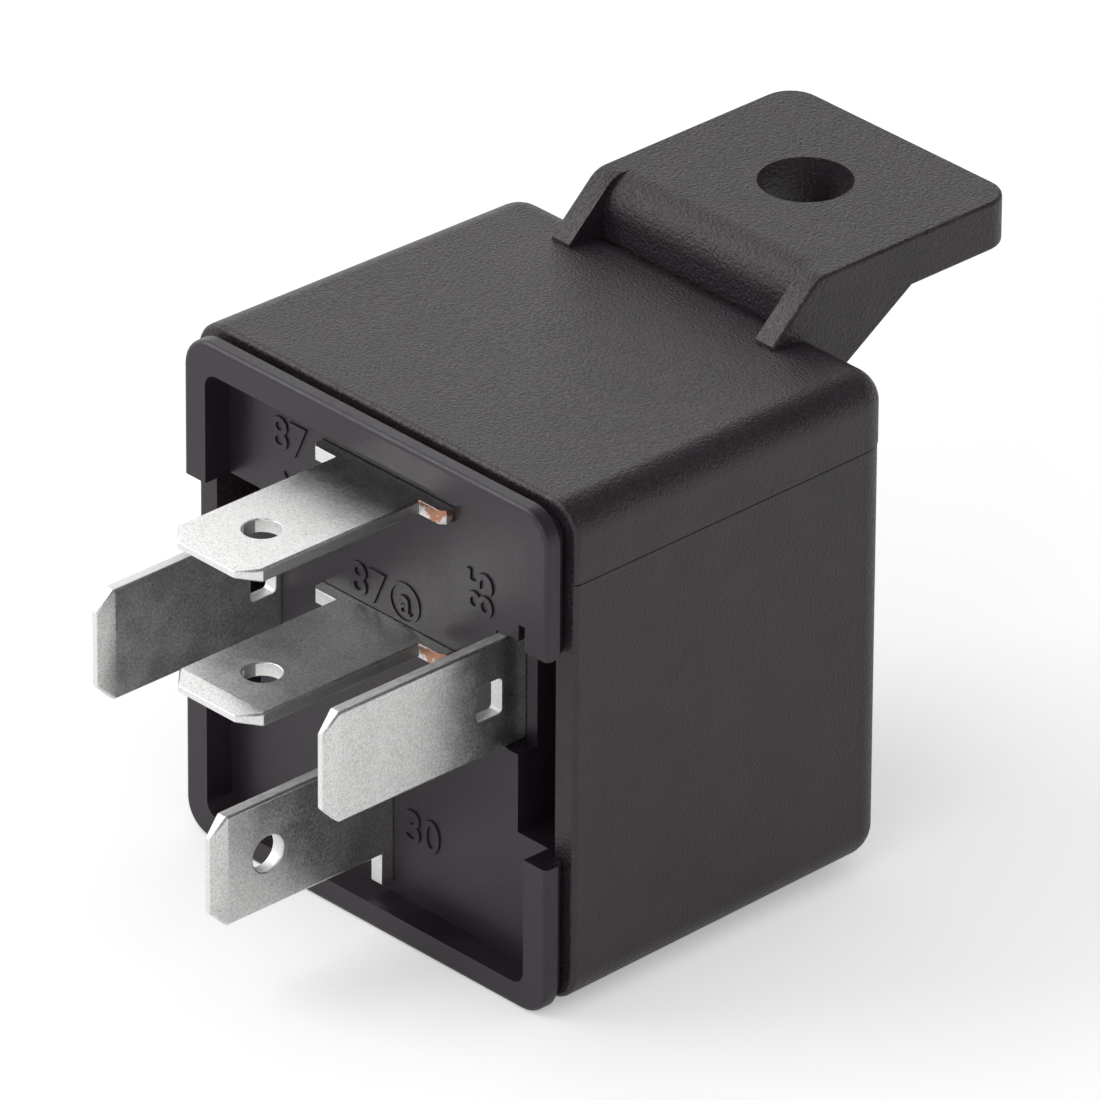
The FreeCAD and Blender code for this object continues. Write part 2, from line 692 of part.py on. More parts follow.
def make_contact_spring():
    """L-shaped leaf spring: leg on the yoke, a bend round the heel and a blade on the armature."""
    angle = math.radians(open_angle)
    half_thick = spring_thickness / 2
    leg_z = yoke_bottom - spring_gap - half_thick
    blade_mid = turned(Part.Vertex(0, depth(armature_back + half_thick), armature_tip),
                       -open_angle).Point
    centre_z = leg_z + spring_bend_radius
    centre_y = blade_mid.y - (spring_bend_radius + (blade_mid.z - centre_z) * math.sin(angle)) \
        / math.cos(angle)
    normal = Vector(0, math.cos(angle), -math.sin(angle))
    along = Vector(0, math.sin(angle), math.cos(angle))
    centre = Vector(0, centre_y, centre_z)
    bisector = Vector(0, math.cos((angle + math.pi / 2) / 2), -math.sin((angle + math.pi / 2) / 2))
    blade_length = (spring_tip_height - centre_z) / math.cos(angle)
    edges = []
    ends = []
    for radius in (spring_bend_radius + half_thick, spring_bend_radius - half_thick):
        leg_end = Vector(0, centre_y, centre_z - radius)
        leg_start = Vector(0, depth(spring_leg_start), centre_z - radius)
        bend_end = centre + normal * radius
        blade_end = bend_end + along * blade_length
        edges.append(Part.LineSegment(leg_start, leg_end).toShape())
        edges.append(Part.Arc(leg_end, centre + bisector * radius, bend_end).toShape())
        edges.append(Part.LineSegment(bend_end, blade_end).toShape())
        ends.append((leg_start, blade_end))
    edges.append(Part.LineSegment(ends[0][0], ends[1][0]).toShape())
    edges.append(Part.LineSegment(ends[0][1], ends[1][1]).toShape())
    face = Part.Face(Part.Wire(Part.__sortEdges__(edges)))
    face.translate(Vector(-spring_width / 2, 0, 0))
    shape = face.extrude(Vector(spring_width, 0, 0))
    for side in (-1, 1):
        inner = side * spring_tip_width / 2
        outer = side * (spring_width / 2 + 1)
        shape = shape.cut(box(min(inner, outer), max(inner, outer), armature_front, cover_depth,
                              spring_narrow_from, cover_height))
    for x in (-rivet_pitch / 2, rivet_pitch / 2):
        hole = rod_y(rivet_radius, armature_front - 1, spring_back + 1, x, rivet_height)
        shape = shape.cut(turned(hole, -open_angle))
    return shape.cut(turned(contact_hole(armature_back - 1, spring_back + 1), -open_angle))


def make_coil_leads():
    """The winding's two ends, each led to a coil terminal's tail and wound closely round it."""
    leads = []
    inner = math.hypot(blade_thickness / 2, coil_tail_height / 2) + wire_ring_gap
    outer = inner + wire_radius * 2
    last = plug_back + coil_tail_length - 0.5
    first = last - wire_turns * wire_radius * 2
    edge = winding_radius + wire_radius
    rise = math.radians(wire_rise)
    for side in (-1, 1):
        x = side * coil_blade_x
        sleeve = rod_y(outer, first, last, x, height_coil_blades)
        sleeve = sleeve.cut(rod_y(inner, first - 1, last + 1, x, height_coil_blades))
        y = depth((first + last) / 2)
        start = Vector(x, y, height_coil_blades - (inner + outer) / 2)
        finish = Vector(side * edge * math.cos(rise), y, coil_height + edge * math.sin(rise))
        run = finish - start
        lead = sleeve.fuse(Part.makeCylinder(wire_radius, run.Length, start, run))
        leads.append(lead)
    return leads


def make_resistor():
    """Small resistor across the coil, its leads bent down onto the coil terminals' tails."""
    half = resistor_length / 2
    shape = rod_x(resistor_radius, -half, half, resistor_depth, resistor_height)
    tail_top = height_coil_blades + coil_tail_height / 2
    tail_depth = plug_back + resistor_lead_radius + resistor_lead_gap
    for side in (-1, 1):
        x = side * coil_blade_x
        root = Vector(side * (half - resistor_lead_radius), depth(resistor_depth), resistor_height)
        corner = Vector(x, depth(resistor_depth), resistor_height)
        foot = Vector(x, depth(tail_depth), tail_top)
        path = Part.Wire([Part.makeLine(root, corner), Part.makeLine(corner, foot)])
        section = Part.Wire([Part.makeCircle(resistor_lead_radius, root, Vector(1, 0, 0))])
        shape = shape.fuse(path.makePipeShell([section], True, False, 1))
    tail_cut = box(-half_width, half_width, plug_back, cover_depth, yoke_bottom, tail_top)
    return shape.cut(tail_cut).removeSplitter()


def main():
    """Build every node."""
    os.makedirs("parts", exist_ok=True)
    save("cover", make_cover())
    save("base", make_base())
    save("terminal_87", make_terminal_87())
    save("terminal_87a", make_terminal_87a())
    save("terminal_30", make_terminal_30())
    save("terminal_85", make_coil_terminal(1))
    save("terminal_86", make_coil_terminal(-1))
    save("normally_open_contact",
         make_fixed_contact(no_contact_face, no_leg_back, no_leg_back - blade_thickness))
    save("normally_closed_contact",
         make_fixed_contact(nc_contact_face, nc_leg_front, nc_leg_front + blade_thickness))
    save("moving_contact", make_moving_contact())
    save("contact_spring", make_contact_spring())
    save("armature", make_armature())
    save("armature_rivets", make_armature_rivets())
    save("yoke", make_yoke())
    save("core", make_core())
    save("bobbin", make_bobbin())
    save("coil_winding", make_winding())
    save("resistor", make_resistor())
    for name, lead in zip(("coil_lead_86", "coil_lead_85"), make_coil_leads()):
        save(name, lead)


main()
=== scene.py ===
"""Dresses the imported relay: moulded cover and base, tinned blades, coil and contacts, and a plain studio.

Places are given in millimetres as (across, behind the cover's rim, above the cover's lowest edge) and
turned into the row frame by at(). The relay lies on its side with its blades towards -Y.
"""
import math

import bmesh
import bpy
from bpy.props import FloatProperty, FloatVectorProperty, IntProperty, PointerProperty
from mathutils import Matrix, Vector


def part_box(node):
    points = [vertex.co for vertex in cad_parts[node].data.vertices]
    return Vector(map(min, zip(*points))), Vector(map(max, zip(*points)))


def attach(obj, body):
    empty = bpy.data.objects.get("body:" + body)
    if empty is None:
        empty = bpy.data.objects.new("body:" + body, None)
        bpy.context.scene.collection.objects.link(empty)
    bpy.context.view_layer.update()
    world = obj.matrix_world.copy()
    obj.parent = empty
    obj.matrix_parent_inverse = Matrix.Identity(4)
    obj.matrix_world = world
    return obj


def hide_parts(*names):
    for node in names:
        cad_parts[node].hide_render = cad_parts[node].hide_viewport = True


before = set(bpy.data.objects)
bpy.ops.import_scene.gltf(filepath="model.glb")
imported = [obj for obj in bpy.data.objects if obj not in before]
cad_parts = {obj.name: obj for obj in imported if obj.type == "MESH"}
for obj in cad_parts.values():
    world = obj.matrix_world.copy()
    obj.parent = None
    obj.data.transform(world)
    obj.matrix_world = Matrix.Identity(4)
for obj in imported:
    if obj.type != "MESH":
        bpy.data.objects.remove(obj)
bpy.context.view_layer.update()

bl_info = {
    "name": "Automotive relay",
    "version": (1, 0, 0),
    "blender": (4, 5, 0),
    "location": "View3D > Sidebar > Relay",
    "description": "Builds the visible pieces of a plug-in relay round its packed solids",
    "category": "Object",
}

MM = 0.001
BODY = "relay"
SWINGING_BODY = "armature_body"

# Anchors and outer sizes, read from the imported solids
cover_low, cover_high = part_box("cover")
RIM = cover_low.y
LIFT = cover_low.z
HALF_WIDTH = cover_high.x / MM
TAB_END = (cover_high.y - RIM) / MM
TAB_TOP = (cover_high.z - LIFT) / MM
BLADE_TIP = (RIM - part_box("terminal_87")[0].y) / MM
HEIGHT_87 = (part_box("terminal_87")[1].z - LIFT) / MM - 0.4
NO_LEG_BACK = (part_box("terminal_87")[1].y - RIM) / MM
NC_LEG_BACK = (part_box("terminal_87a")[1].y - RIM) / MM
NC_ARM_TOP = (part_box("terminal_87a")[1].z - LIFT) / MM
HEIGHT_30 = ((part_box("terminal_30")[0].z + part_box("terminal_30")[1].z) / 2 - LIFT) / MM
TONGUE_END = (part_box("terminal_30")[1].y - RIM) / MM
COIL_BLADE_X = (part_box("terminal_85")[0].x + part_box("terminal_85")[1].x) / 2 / MM
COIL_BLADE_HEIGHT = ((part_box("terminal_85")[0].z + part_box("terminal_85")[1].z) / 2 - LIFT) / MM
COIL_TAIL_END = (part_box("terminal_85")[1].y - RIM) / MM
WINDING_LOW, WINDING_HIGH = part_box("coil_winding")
COIL_HEIGHT = ((WINDING_LOW.z + WINDING_HIGH.z) / 2 - LIFT) / MM
WINDING_RADIUS = (WINDING_HIGH.x - WINDING_LOW.x) / 2 / MM
WINDING_START = (WINDING_LOW.y - RIM) / MM
WINDING_END = (WINDING_HIGH.y - RIM) / MM

# Cover
COVER_HEIGHT = 28.5
COVER_DEPTH = 22.1
COVER_WALL = 1.4
SIDE_DRAFT = 0.85
TOP_DRAFT = 0.5
BOTTOM_DRAFT = 0.85
COVER_RADIUS = 1.8
PARTING_HEIGHT = 24.25

# Fixing tab
TAB_HALF = 8.25
TAB_THICKNESS = 2.75
TAB_CORNER = 1.75
TAB_NOSE = 1.95
CREST_RADIUS = 1.6
TAB_EDGE = 0.2
CHEEK = 1.4
CHEEK_FOOT = 19.0
CHEEK_CREST = 22.1
CHEEK_BACK = 6.6
CHEEK_DROP = 3.8
WEB_FRONT = 21.4
WEB_THICKNESS = 2.1
TAB_HOLE_FROM_END = 6.95
TAB_HOLE_RADIUS = 2.5

# Base
LIP_FRONT = 1.45
LIP_BACK = 0.5
LIP_SIDE_INSET = 0.5
LIP_TOP_INSET = 0.2
LIP_DROP = 0.45
LIP_EDGE = 0.3
NECK_INSET = 0.9
FLOOR = 0.25
TRAY_HALF = 11.85
TRAY_LOW = 0.95
TRAY_HIGH = 26.6
TRAY_RADIUS = 0.8
PLUG_BACK = 3.0
PLUG_CLEARANCE = 0.05
WINDOW_HEIGHT = 11.9
WINDOW_EDGE = 9.6
SKIRT_HALF = 6.5
SKIRT_LENGTH = 3.0
SKIRT_THICKNESS = 1.1

# Blades
BLADE_HALF = 3.15
BLADE_THICK = 0.8
SHOULDER_HALF = 4.85
SHOULDER_FRONT = -0.55
LOCK_HOLE_RADIUS = 1.0
LOCK_HOLE_FROM_TIP = 3.75
SLOT_GAP = 0.05
RISER_BACK = 2.9
CONTACT_HEIGHT = HEIGHT_87 - 2.35
HEIGHT_87A = (HEIGHT_87 + HEIGHT_30) / 2 + 0.85
NC_ARM_INNER = 4.2
NC_ARM_OUTER = 7.6


class RelaySizes(bpy.types.PropertyGroup):
    """Small sizes that change how the moulding, the wire and the numerals look."""
    edge_softness: FloatProperty(
        name="Edge softness", description="Rounding of the moulded edges",
        default=0.18 * MM, unit="LENGTH")
    sheet_softness: FloatProperty(
        name="Sheet edge softness", description="Rounding of the cut edges of the metal parts",
        default=0.06 * MM, unit="LENGTH")
    parting_step: FloatProperty(
        name="Parting step", description="Height of the mould's parting line on the cover's sides",
        default=0.06 * MM, unit="LENGTH")
    numeral_height: FloatProperty(
        name="Numeral height", description="Height of the raised pin numbers",
        default=1.9 * MM, unit="LENGTH")
    numeral_relief: FloatProperty(
        name="Numeral relief", description="How far the pin numbers stand out",
        default=0.1 * MM, unit="LENGTH")
    wire_thickness: FloatProperty(
        name="Wire thickness", description="Thickness of the coil's wire as it is drawn",
        default=0.24 * MM, unit="LENGTH")
    wrap_turns: IntProperty(
        name="Wrap turns", description="Turns of wire round each coil terminal", default=4)
    cover_grain: FloatProperty(
        name="Cover grain", description="Size of the fine grain on the cover",
        default=0.16 * MM, unit="LENGTH")
    tab_grain: FloatProperty(
        name="Tab grain", description="Size of the coarser grain on the fixing tab",
        default=0.2 * MM, unit="LENGTH")


class RelayColours(bpy.types.PropertyGroup):
    """Colours of the relay's materials."""
    cover: FloatVectorProperty(
        name="Cover", description="Black plastic of the cover", subtype="COLOR",
        default=(0.0195, 0.0125, 0.0175))
    base: FloatVectorProperty(
        name="Base", description="Black plastic of the base", subtype="COLOR",
        default=(0.018, 0.012, 0.0185))
    tin: FloatVectorProperty(
        name="Tin", description="Tin plating of the blades", subtype="COLOR",
        default=(0.8, 0.8, 0.79))
    sheared: FloatVectorProperty(
        name="Sheared edge", description="Bare metal where the blades were cut after plating",
        subtype="COLOR", default=(0.6, 0.3, 0.2))
    copper: FloatVectorProperty(
        name="Winding", description="Enamelled copper wire", subtype="COLOR",
        default=(0.62, 0.2, 0.07))
    bronze: FloatVectorProperty(
        name="Spring", description="Bronze of the contact spring", subtype="COLOR",
        default=(0.72, 0.45, 0.24))
    plated: FloatVectorProperty(
        name="Plated iron", description="Zinc-plated yoke and armature", subtype="COLOR",
        default=(0.62, 0.62, 0.6))
    iron: FloatVectorProperty(
        name="Core", description="Turned iron core", subtype="COLOR",
        default=(0.42, 0.42, 0.43))
    silver: FloatVectorProperty(
        name="Contacts", description="Contact metal", subtype="COLOR",
        default=(0.83, 0.82, 0.79))
    bobbin: FloatVectorProperty(
        name="Bobbin", description="Glass-filled plastic of the bobbin", subtype="COLOR",
        default=(0.66, 0.61, 0.47))
    resistor: FloatVectorProperty(
        name="Resistor", description="Lacquer of the resistor", subtype="COLOR",
        default=(0.28, 0.46, 0.6))


class RelayStage(bpy.types.PropertyGroup):
    """Camera and light."""
    azimuth: FloatProperty(
        name="Azimuth", description="Camera direction round the object",
        default=math.radians(46.807), subtype="ANGLE")
    elevation: FloatProperty(
        name="Elevation", description="Camera height over the horizon",
        default=math.radians(28.911), subtype="ANGLE")
    roll: FloatProperty(
        name="Roll", description="Camera roll", default=math.radians(0.366), subtype="ANGLE")
    distance: FloatProperty(
        name="Distance", description="Camera distance", default=0.82666, unit="LENGTH")
    lens: FloatProperty(
        name="Lens", description="Focal length in millimetres", default=532.87)
    floor_colour: FloatVectorProperty(
        name="Floor", description="Colour of the floor", subtype="COLOR", default=(0.86, 0.86, 0.86))
    key_power: FloatProperty(
        name="Key light", description="Power of the light over the left shoulder", default=1.6,
        unit="POWER")
    fill_power: FloatProperty(
        name="Fill light", description="Power of the light in front", default=0.8, unit="POWER")
    ambient: FloatProperty(
        name="Ambient", description="Strength of the even light from all round", default=0.62)
    ceiling: FloatProperty(
        name="Ceiling", description="Brightness overhead, as gloss sees it", default=0.2)
    left_wall: FloatProperty(
        name="Left wall", description="Brightness on the left, as gloss sees it", default=1.4)


def sizes():
    """The sizes that the user can change."""
    return bpy.context.scene.relay_sizes


def colours():
    """The colours that the user can change."""
    return bpy.context.scene.relay_colours


def stage_settings():
    """The camera and light settings."""
    return bpy.context.scene.relay_stage


# Points and outlines

def at(x, depth, height):
    """Point in the row frame from millimetres across, behind the rim and above the cover's edge."""
    return Vector((x * MM, RIM + depth * MM, LIFT + height * MM))


def arc(centre, radius, start, end, steps):
    """Points of an arc in a plane, angles in degrees."""
    points = []
    for step in range(steps + 1):
        angle = math.radians(start + (end - start) * step / steps)
        points.append((centre[0] + radius * math.cos(angle), centre[1] + radius * math.sin(angle)))
    return points


def rounded_outline(a0, a1, b0, b1, radius, steps=8):
    """Rounded rectangle, anticlockwise from its lower right corner."""
    return (arc((a1 - radius, b0 + radius), radius, -90, 0, steps)
            + arc((a1 - radius, b1 - radius), radius, 0, 90, steps)
            + arc((a0 + radius, b1 - radius), radius, 90, 180, steps)
            + arc((a0 + radius, b0 + radius), radius, 180, 270, steps))


# Meshes

def put(name, mesh):
    """A new object with a mesh, in the scene."""
    obj = bpy.data.objects.new(name, mesh)
    bpy.context.scene.collection.objects.link(obj)
    return obj


def from_bmesh(name, bm):
    """Close a bmesh into an object with outward faces."""
    bmesh.ops.recalc_face_normals(bm, faces=bm.faces)
    mesh = bpy.data.meshes.new(name)
    bm.to_mesh(mesh)
    bm.free()
    return put(name, mesh)


def loft(name, rings, closed_ring=True):
    """Skin over rings of equal length. The first and last ring are capped unless the loft closes."""
    bm = bmesh.new()
    rows = [[bm.verts.new(point) for point in ring] for ring in rings]
    count = len(rows[0])
    for low, high in zip(rows, rows[1:]):
        for index in range(count):
            after = (index + 1) % count
            bm.faces.new((low[index], low[after], high[after], high[index]))
    if closed_ring:
        bm.faces.new(rows[0])
        bm.faces.new(rows[-1])
    return from_bmesh(name, bm)


def prism(name, axis, outline, start, end):
    """Extrude an outline along x, y (depth) or z (height), all in millimetres."""
    def place(pair, along):
        if axis == "x":
            return at(along, pair[0], pair[1])
        if axis == "y":
            return at(pair[0], along, pair[1])
        return at(pair[0], pair[1], along)
    return loft(name, [[place(pair, start) for pair in outline], [place(pair, end) for pair in outline]])


def block(name, x0, x1, d0, d1, z0, z1):
    """Plain box, used as a tool for joining and cutting."""
    return prism(name, "y", [(x0, z0), (x1, z0), (x1, z1), (x0, z1)], d0, d1)


def rod(name, axis, centre, radius, start, end, steps=48):
    """Round bar or drill along one axis."""
    return prism(name, axis, arc(centre, radius, 0, 360 - 360 / steps, steps - 1), start, end)


def turned(name, axis_point, profile, steps=64):
    """Turn a closed profile of (radius, depth) about a line along Y."""
    bm = bmesh.new()
    rows = []
    for step in range(steps):
        angle = 2 * math.pi * step / steps
        rows.append([bm.verts.new(at(axis_point[0] + radius * math.cos(angle), depth,
                                     axis_point[1] + radius * math.sin(angle)))
                     for radius, depth in profile])
    count = len(profile)
    for step in range(steps):
        here = rows[step]
        there = rows[(step + 1) % steps]
        for index in range(count):
            after = (index + 1) % count
            bm.faces.new((here[index], there[index], there[after], here[after]))
    return from_bmesh(name, bm)


def bake_modifiers(obj):
    """Apply every modifier of an object to its mesh."""
    bpy.context.view_layer.update()
    graph = bpy.context.evaluated_depsgraph_get()
    mesh = bpy.data.meshes.new_from_object(obj.evaluated_get(graph))
    obj.modifiers.clear()
    old = obj.data
    obj.data = mesh
    if old.users == 0:
        bpy.data.meshes.remove(old)
    return obj


def discard(obj):
    """Remove a tool object."""
    data = obj.data
    bpy.data.objects.remove(obj)
    if isinstance(data, bpy.types.Mesh) and data.users == 0:
        bpy.data.meshes.remove(data)


def work(target, operation, *tools):
    """Join, cut or intersect an object with tools, which are used up."""
    for tool in tools:
        modifier = target.modifiers.new("work", "BOOLEAN")
        modifier.operation = operation
        modifier.solver = "EXACT"
        modifier.object = tool
        bake_modifiers(target)
        discard(tool)
    return target


def tidy_mesh(obj, angle=0.3):
    """Merge doubled points and flat neighbours so that edges can be softened."""
    bm = bmesh.new()
    bm.from_mesh(obj.data)
    bmesh.ops.remove_doubles(bm, verts=bm.verts, dist=0.002 * MM)
    bmesh.ops.dissolve_limit(bm, angle_limit=math.radians(angle), verts=bm.verts, edges=bm.edges)
    bmesh.ops.recalc_face_normals(bm, faces=bm.faces)
    bm.to_mesh(obj.data)
    bm.free()
    return obj


def round_edges(obj, width, chosen):
    """Round the sharp edges whose middle passes a test."""
    bm = bmesh.new()
    bm.from_mesh(obj.data)
    edges = [edge for edge in bm.edges if edge.calc_face_angle(0) > math.radians(32)
             and chosen((edge.verts[0].co + edge.verts[1].co) / 2)]
    bmesh.ops.bevel(bm, geom=edges, offset=width, offset_type="OFFSET", segments=4, profile=0.5,
                    affect="EDGES", clamp_overlap=True)
    bm.to_mesh(obj.data)
    bm.free()
    return obj


def soften(obj, width, segments=3, angle=32):
    """Round the sharp edges and shade the rest smoothly."""
    obj.data.polygons.foreach_set("use_smooth", [True] * len(obj.data.polygons))
    bevel = obj.modifiers.new("edges", "BEVEL")
    bevel.width = width
    bevel.segments = segments
    bevel.limit_method = "ANGLE"
    bevel.angle_limit = math.radians(angle)
    bevel.miter_outer = "MITER_ARC"
    bevel.use_clamp_overlap = True
    weigh = obj.modifiers.new("shading", "WEIGHTED_NORMAL")
    weigh.keep_sharp = False
    return obj


def soften_solid(node, width, segments=2):
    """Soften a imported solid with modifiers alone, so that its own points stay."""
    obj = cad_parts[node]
    weld = obj.modifiers.new("weld", "WELD")
    weld.merge_threshold = 0.001 * MM
    flat = obj.modifiers.new("flat", "DECIMATE")
    flat.decimate_type = "DISSOLVE"
    flat.angle_limit = math.radians(0.5)
    return soften(obj, width, segments)


def piece(obj, body, slot, material, *nodes):
    """Give a finished piece its material and body, and hide the nodes that it stands for; slot is not used."""
    if material is not None:
        obj.data.materials.clear()
        obj.data.materials.append(material)
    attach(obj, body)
    if nodes:
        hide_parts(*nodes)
    return obj


def paint_node(node, material):
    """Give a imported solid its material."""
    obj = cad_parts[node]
    if not obj.material_slots:
        obj.data.materials.append(material)
    for entry in obj.material_slots:
        entry.material = material


def join_meshes(name, parts):
    """Join evaluated objects into one mesh object and remove the parts."""
    bm = bmesh.new()
    bpy.context.view_layer.update()
    graph = bpy.context.evaluated_depsgraph_get()
    materials = []
    for part in parts:
        mesh = bpy.data.meshes.new_from_object(part.evaluated_get(graph))
        mesh.transform(part.matrix_world)
        offset = len(materials)
        for polygon in mesh.polygons:
            polygon.material_index += offset
        materials.extend(mesh.materials or [None])
        bm.from_mesh(mesh)
        bpy.data.meshes.remove(mesh)
    for part in parts:
        bpy.data.objects.remove(part)
    joined = bpy.data.meshes.new(name)
    bm.to_mesh(joined)
    bm.free()
    for material in materials:
        joined.materials.append(material)
    return put(name, joined)


def wire(name, points, radius, resolution=3):
    """Round wire along points, as a smooth curve with its own thickness."""
    curve = bpy.data.curves.new(name, "CURVE")
    curve.dimensions = "3D"
    curve.bevel_depth = radius
    curve.bevel_resolution = resolution
    curve.use_fill_caps = True
    curve.resolution_u = 6
    spline = curve.splines.new("NURBS")
    spline.points.add(len(points) - 1)
    for point, target in zip(spline.points, points):
        point.co = (*target, 1)
    spline.order_u = 3
    spline.use_endpoint_u = True
    return put(name, curve)


# Materials

class Shader:
    """Small helper that lays out one node material."""

    def __init__(self, name):
        self.material = bpy.data.materials.new(name)
        self.material.use_nodes = True
        self.nodes = self.material.node_tree.nodes
        self.links = self.material.node_tree.links
        self.surface = self.nodes["Principled BSDF"]
        self.place = self.nodes.new("ShaderNodeTexCoord").outputs["Object"]

    def set(self, **values):
        """Set sockets of the surface shader by their names, with _ for a space."""
        for name, value in values.items():
            self.surface.inputs[name.replace("_", " ")].default_value = value
        return self

    def noise(self, feature, detail=3.0, roughness=0.55, stretch=(1, 1, 1), offset=(0, 0, 0)):
        """Noise whose grains are about feature metres across, stretched along the axes."""
        mapping = self.nodes.new("ShaderNodeMapping")
        mapping.inputs["Scale"].default_value = tuple(1 / (feature * s) for s in stretch)
        mapping.inputs["Location"].default_value = offset
        self.links.new(self.place, mapping.inputs["Vector"])
        noise = self.nodes.new("ShaderNodeTexNoise")
        noise.inputs["Scale"].default_value = 1.0
        noise.inputs["Detail"].default_value = detail
        noise.inputs["Roughness"].default_value = roughness
        self.links.new(mapping.outputs["Vector"], noise.inputs["Vector"])
        return noise.outputs["Fac"]

    def spread(self, source, low, high, start=0.3, end=0.7):
        """Stretch a texture from start..end to low..high."""
        node = self.nodes.new("ShaderNodeMapRange")
        node.inputs["From Min"].default_value = start
        node.inputs["From Max"].default_value = end
        node.inputs["To Min"].default_value = low
        node.inputs["To Max"].default_value = high
        self.links.new(source, node.inputs["Value"])
        return node.outputs["Result"]

    def shades(self, source, dark, light, start=0.35, end=0.65):
        """Colour between two tones, steered by a texture."""
        node = self.nodes.new("ShaderNodeValToRGB")
        node.color_ramp.elements[0].position = start
        node.color_ramp.elements[0].color = (*dark, 1)
        node.color_ramp.elements[1].position = end
        node.color_ramp.elements[1].color = (*light, 1)
        self.links.new(source, node.inputs["Fac"])
        return node.outputs["Color"]

    def combine(self, operation, first, second):
        """Arithmetic on two textures or a texture and a number."""
        node = self.nodes.new("ShaderNodeMath")
        node.operation = operation
        for socket, value in zip(node.inputs, (first, second)):
            if isinstance(value, (int, float)):
                socket.default_value = value
            else:
                self.links.new(value, socket)
        return node.outputs["Value"]

    def part_of(self, axis, start, end):
        """0 before start and 1 after end along one axis of the row frame, in metres."""
        split = self.nodes.new("ShaderNodeSeparateXYZ")
        self.links.new(self.place, split.inputs["Vector"])
        return self.spread(split.outputs[axis], 0.0, 1.0, start, end)

    def feed(self, source, name):
        """Link a texture to a socket of the surface shader."""
        self.links.new(source, self.surface.inputs[name])
        return self

    def bump(self, source, height, strength=1.0, under=None):
        """Raise the surface by a texture, height in metres."""
        node = self.nodes.new("ShaderNodeBump")
        node.inputs["Distance"].default_value = height
        node.inputs["Strength"].default_value = strength
        self.links.new(source, node.inputs["Height"])
        if under is not None:
            self.links.new(under, node.inputs["Normal"])
        self.links.new(node.outputs["Normal"], self.surface.inputs["Normal"])
        return node.outputs["Normal"]


def tone(colour, factor):
    """A colour made darker or lighter."""
    return tuple(min(1.0, channel * factor) for channel in colour)


def cover_plastic():
    """Spark-eroded black plastic, finer on the box and coarser on the fixing tab."""
    shader = Shader("cover_plastic").set(IOR=1.5)
    colour = tuple(colours().cover)
    mottle = shader.noise(2.4 * MM, detail=4)
    fine = shader.noise(sizes().cover_grain, detail=1)
    coarse = shader.noise(sizes().tab_grain, detail=2, roughness=0.6)
    speckle = shader.combine("ADD", shader.combine("MULTIPLY", mottle, 0.4),
                             shader.combine("MULTIPLY", fine, 0.6))
    shader.feed(shader.shades(speckle, tone(colour, 0.45), tone(colour, 1.6), 0.3, 0.7), "Base Color")
    on_tab = shader.part_of("Y", RIM + 20.0 * MM, RIM + 21.5 * MM)
    rough = shader.combine("ADD", shader.spread(fine, 0.34, 0.52),
                           shader.combine("MULTIPLY", on_tab, 0.03))
    shader.feed(rough, "Roughness")
    relief = shader.combine("ADD", shader.combine("MULTIPLY", fine, 0.7),
                            shader.combine("MULTIPLY", coarse, shader.combine("ADD", on_tab, 0.15)))
    shader.bump(relief, 0.07 * MM, 1.0)
    return shader.material


def base_plastic():
    """Smoother black plastic with a slightly cool tint and faint flow marks."""
    shader = Shader("base_plastic").set(IOR=1.5)
    colour = tuple(colours().base)
    flow = shader.noise(3.5 * MM, detail=5, stretch=(1, 1, 2.2))
    shader.feed(shader.shades(flow, tone(colour, 0.85), tone(colour, 1.2)), "Base Color")
    fine = shader.noise(0.22 * MM, detail=3)
    shader.feed(shader.combine("ADD", shader.spread(fine, 0.0, 0.1), shader.spread(flow, 0.28, 0.4)),
                "Roughness")
    shader.bump(fine, 0.009 * MM, 0.9)
    return shader.material


def tinned_sheet():
    """Bright tin over sheet metal: a fine sparkling skin, drawing lines and a few dull marks."""
    shader = Shader("tinned_sheet").set(Metallic=1.0)
    colour = tuple(colours().tin)
    cloud = shader.noise(1.3 * MM, detail=2, roughness=0.5)
    marks = shader.spread(shader.noise(0.34 * MM, detail=2, stretch=(1, 2.2, 1), offset=(3, 7, 1)),
                          1.0, 0.72, 0.7, 0.76)
    speckle = shader.noise(0.12 * MM, detail=3, roughness=0.7)
    bright = shader.combine("MULTIPLY", shader.spread(cloud, 0.93, 1.0), marks)
    bright = shader.combine("MULTIPLY", bright, shader.spread(speckle, 0.76, 1.06, 0.38, 0.62))
    shader.feed(shader.shades(bright, tone(colour, 0.45), tone(colour, 1.05), 0.5, 1.0), "Base Color")
    lines = shader.noise(0.06 * MM, detail=2, stretch=(1, 30, 1))
    sparkle = shader.noise(0.085 * MM, detail=1, roughness=0.5)
    shader.feed(shader.combine("ADD", shader.spread(cloud, 0.27, 0.34), shader.spread(speckle, 0.0, 0.1)),
                "Roughness")
    under = shader.bump(lines, 0.001 * MM, 0.6)
    shader.bump(sparkle, 0.0045 * MM, 1.0, under)
    return shader.material


def sheared_metal():
    """Torn cut edge: reddish base metal with tin smeared over part of it."""
    shader = Shader("sheared_metal").set(Metallic=1.0)
    colour = tuple(colours().sheared)
    smear = shader.noise(0.75 * MM, detail=2, offset=(2, 5, 4))
    grain = shader.noise(0.14 * MM, detail=4, roughness=0.7)
    mixed = shader.combine("ADD", shader.spread(smear, 0.0, 0.8, 0.46, 0.62), shader.spread(grain, -0.25, 0.4))
    shader.feed(shader.shades(mixed, tone(colour, 0.8), tuple(colours().tin), 0.3, 0.85), "Base Color")
    shader.feed(shader.spread(grain, 0.25, 0.45), "Roughness")
    shader.bump(grain, 0.035 * MM, 1.0)
    return shader.material


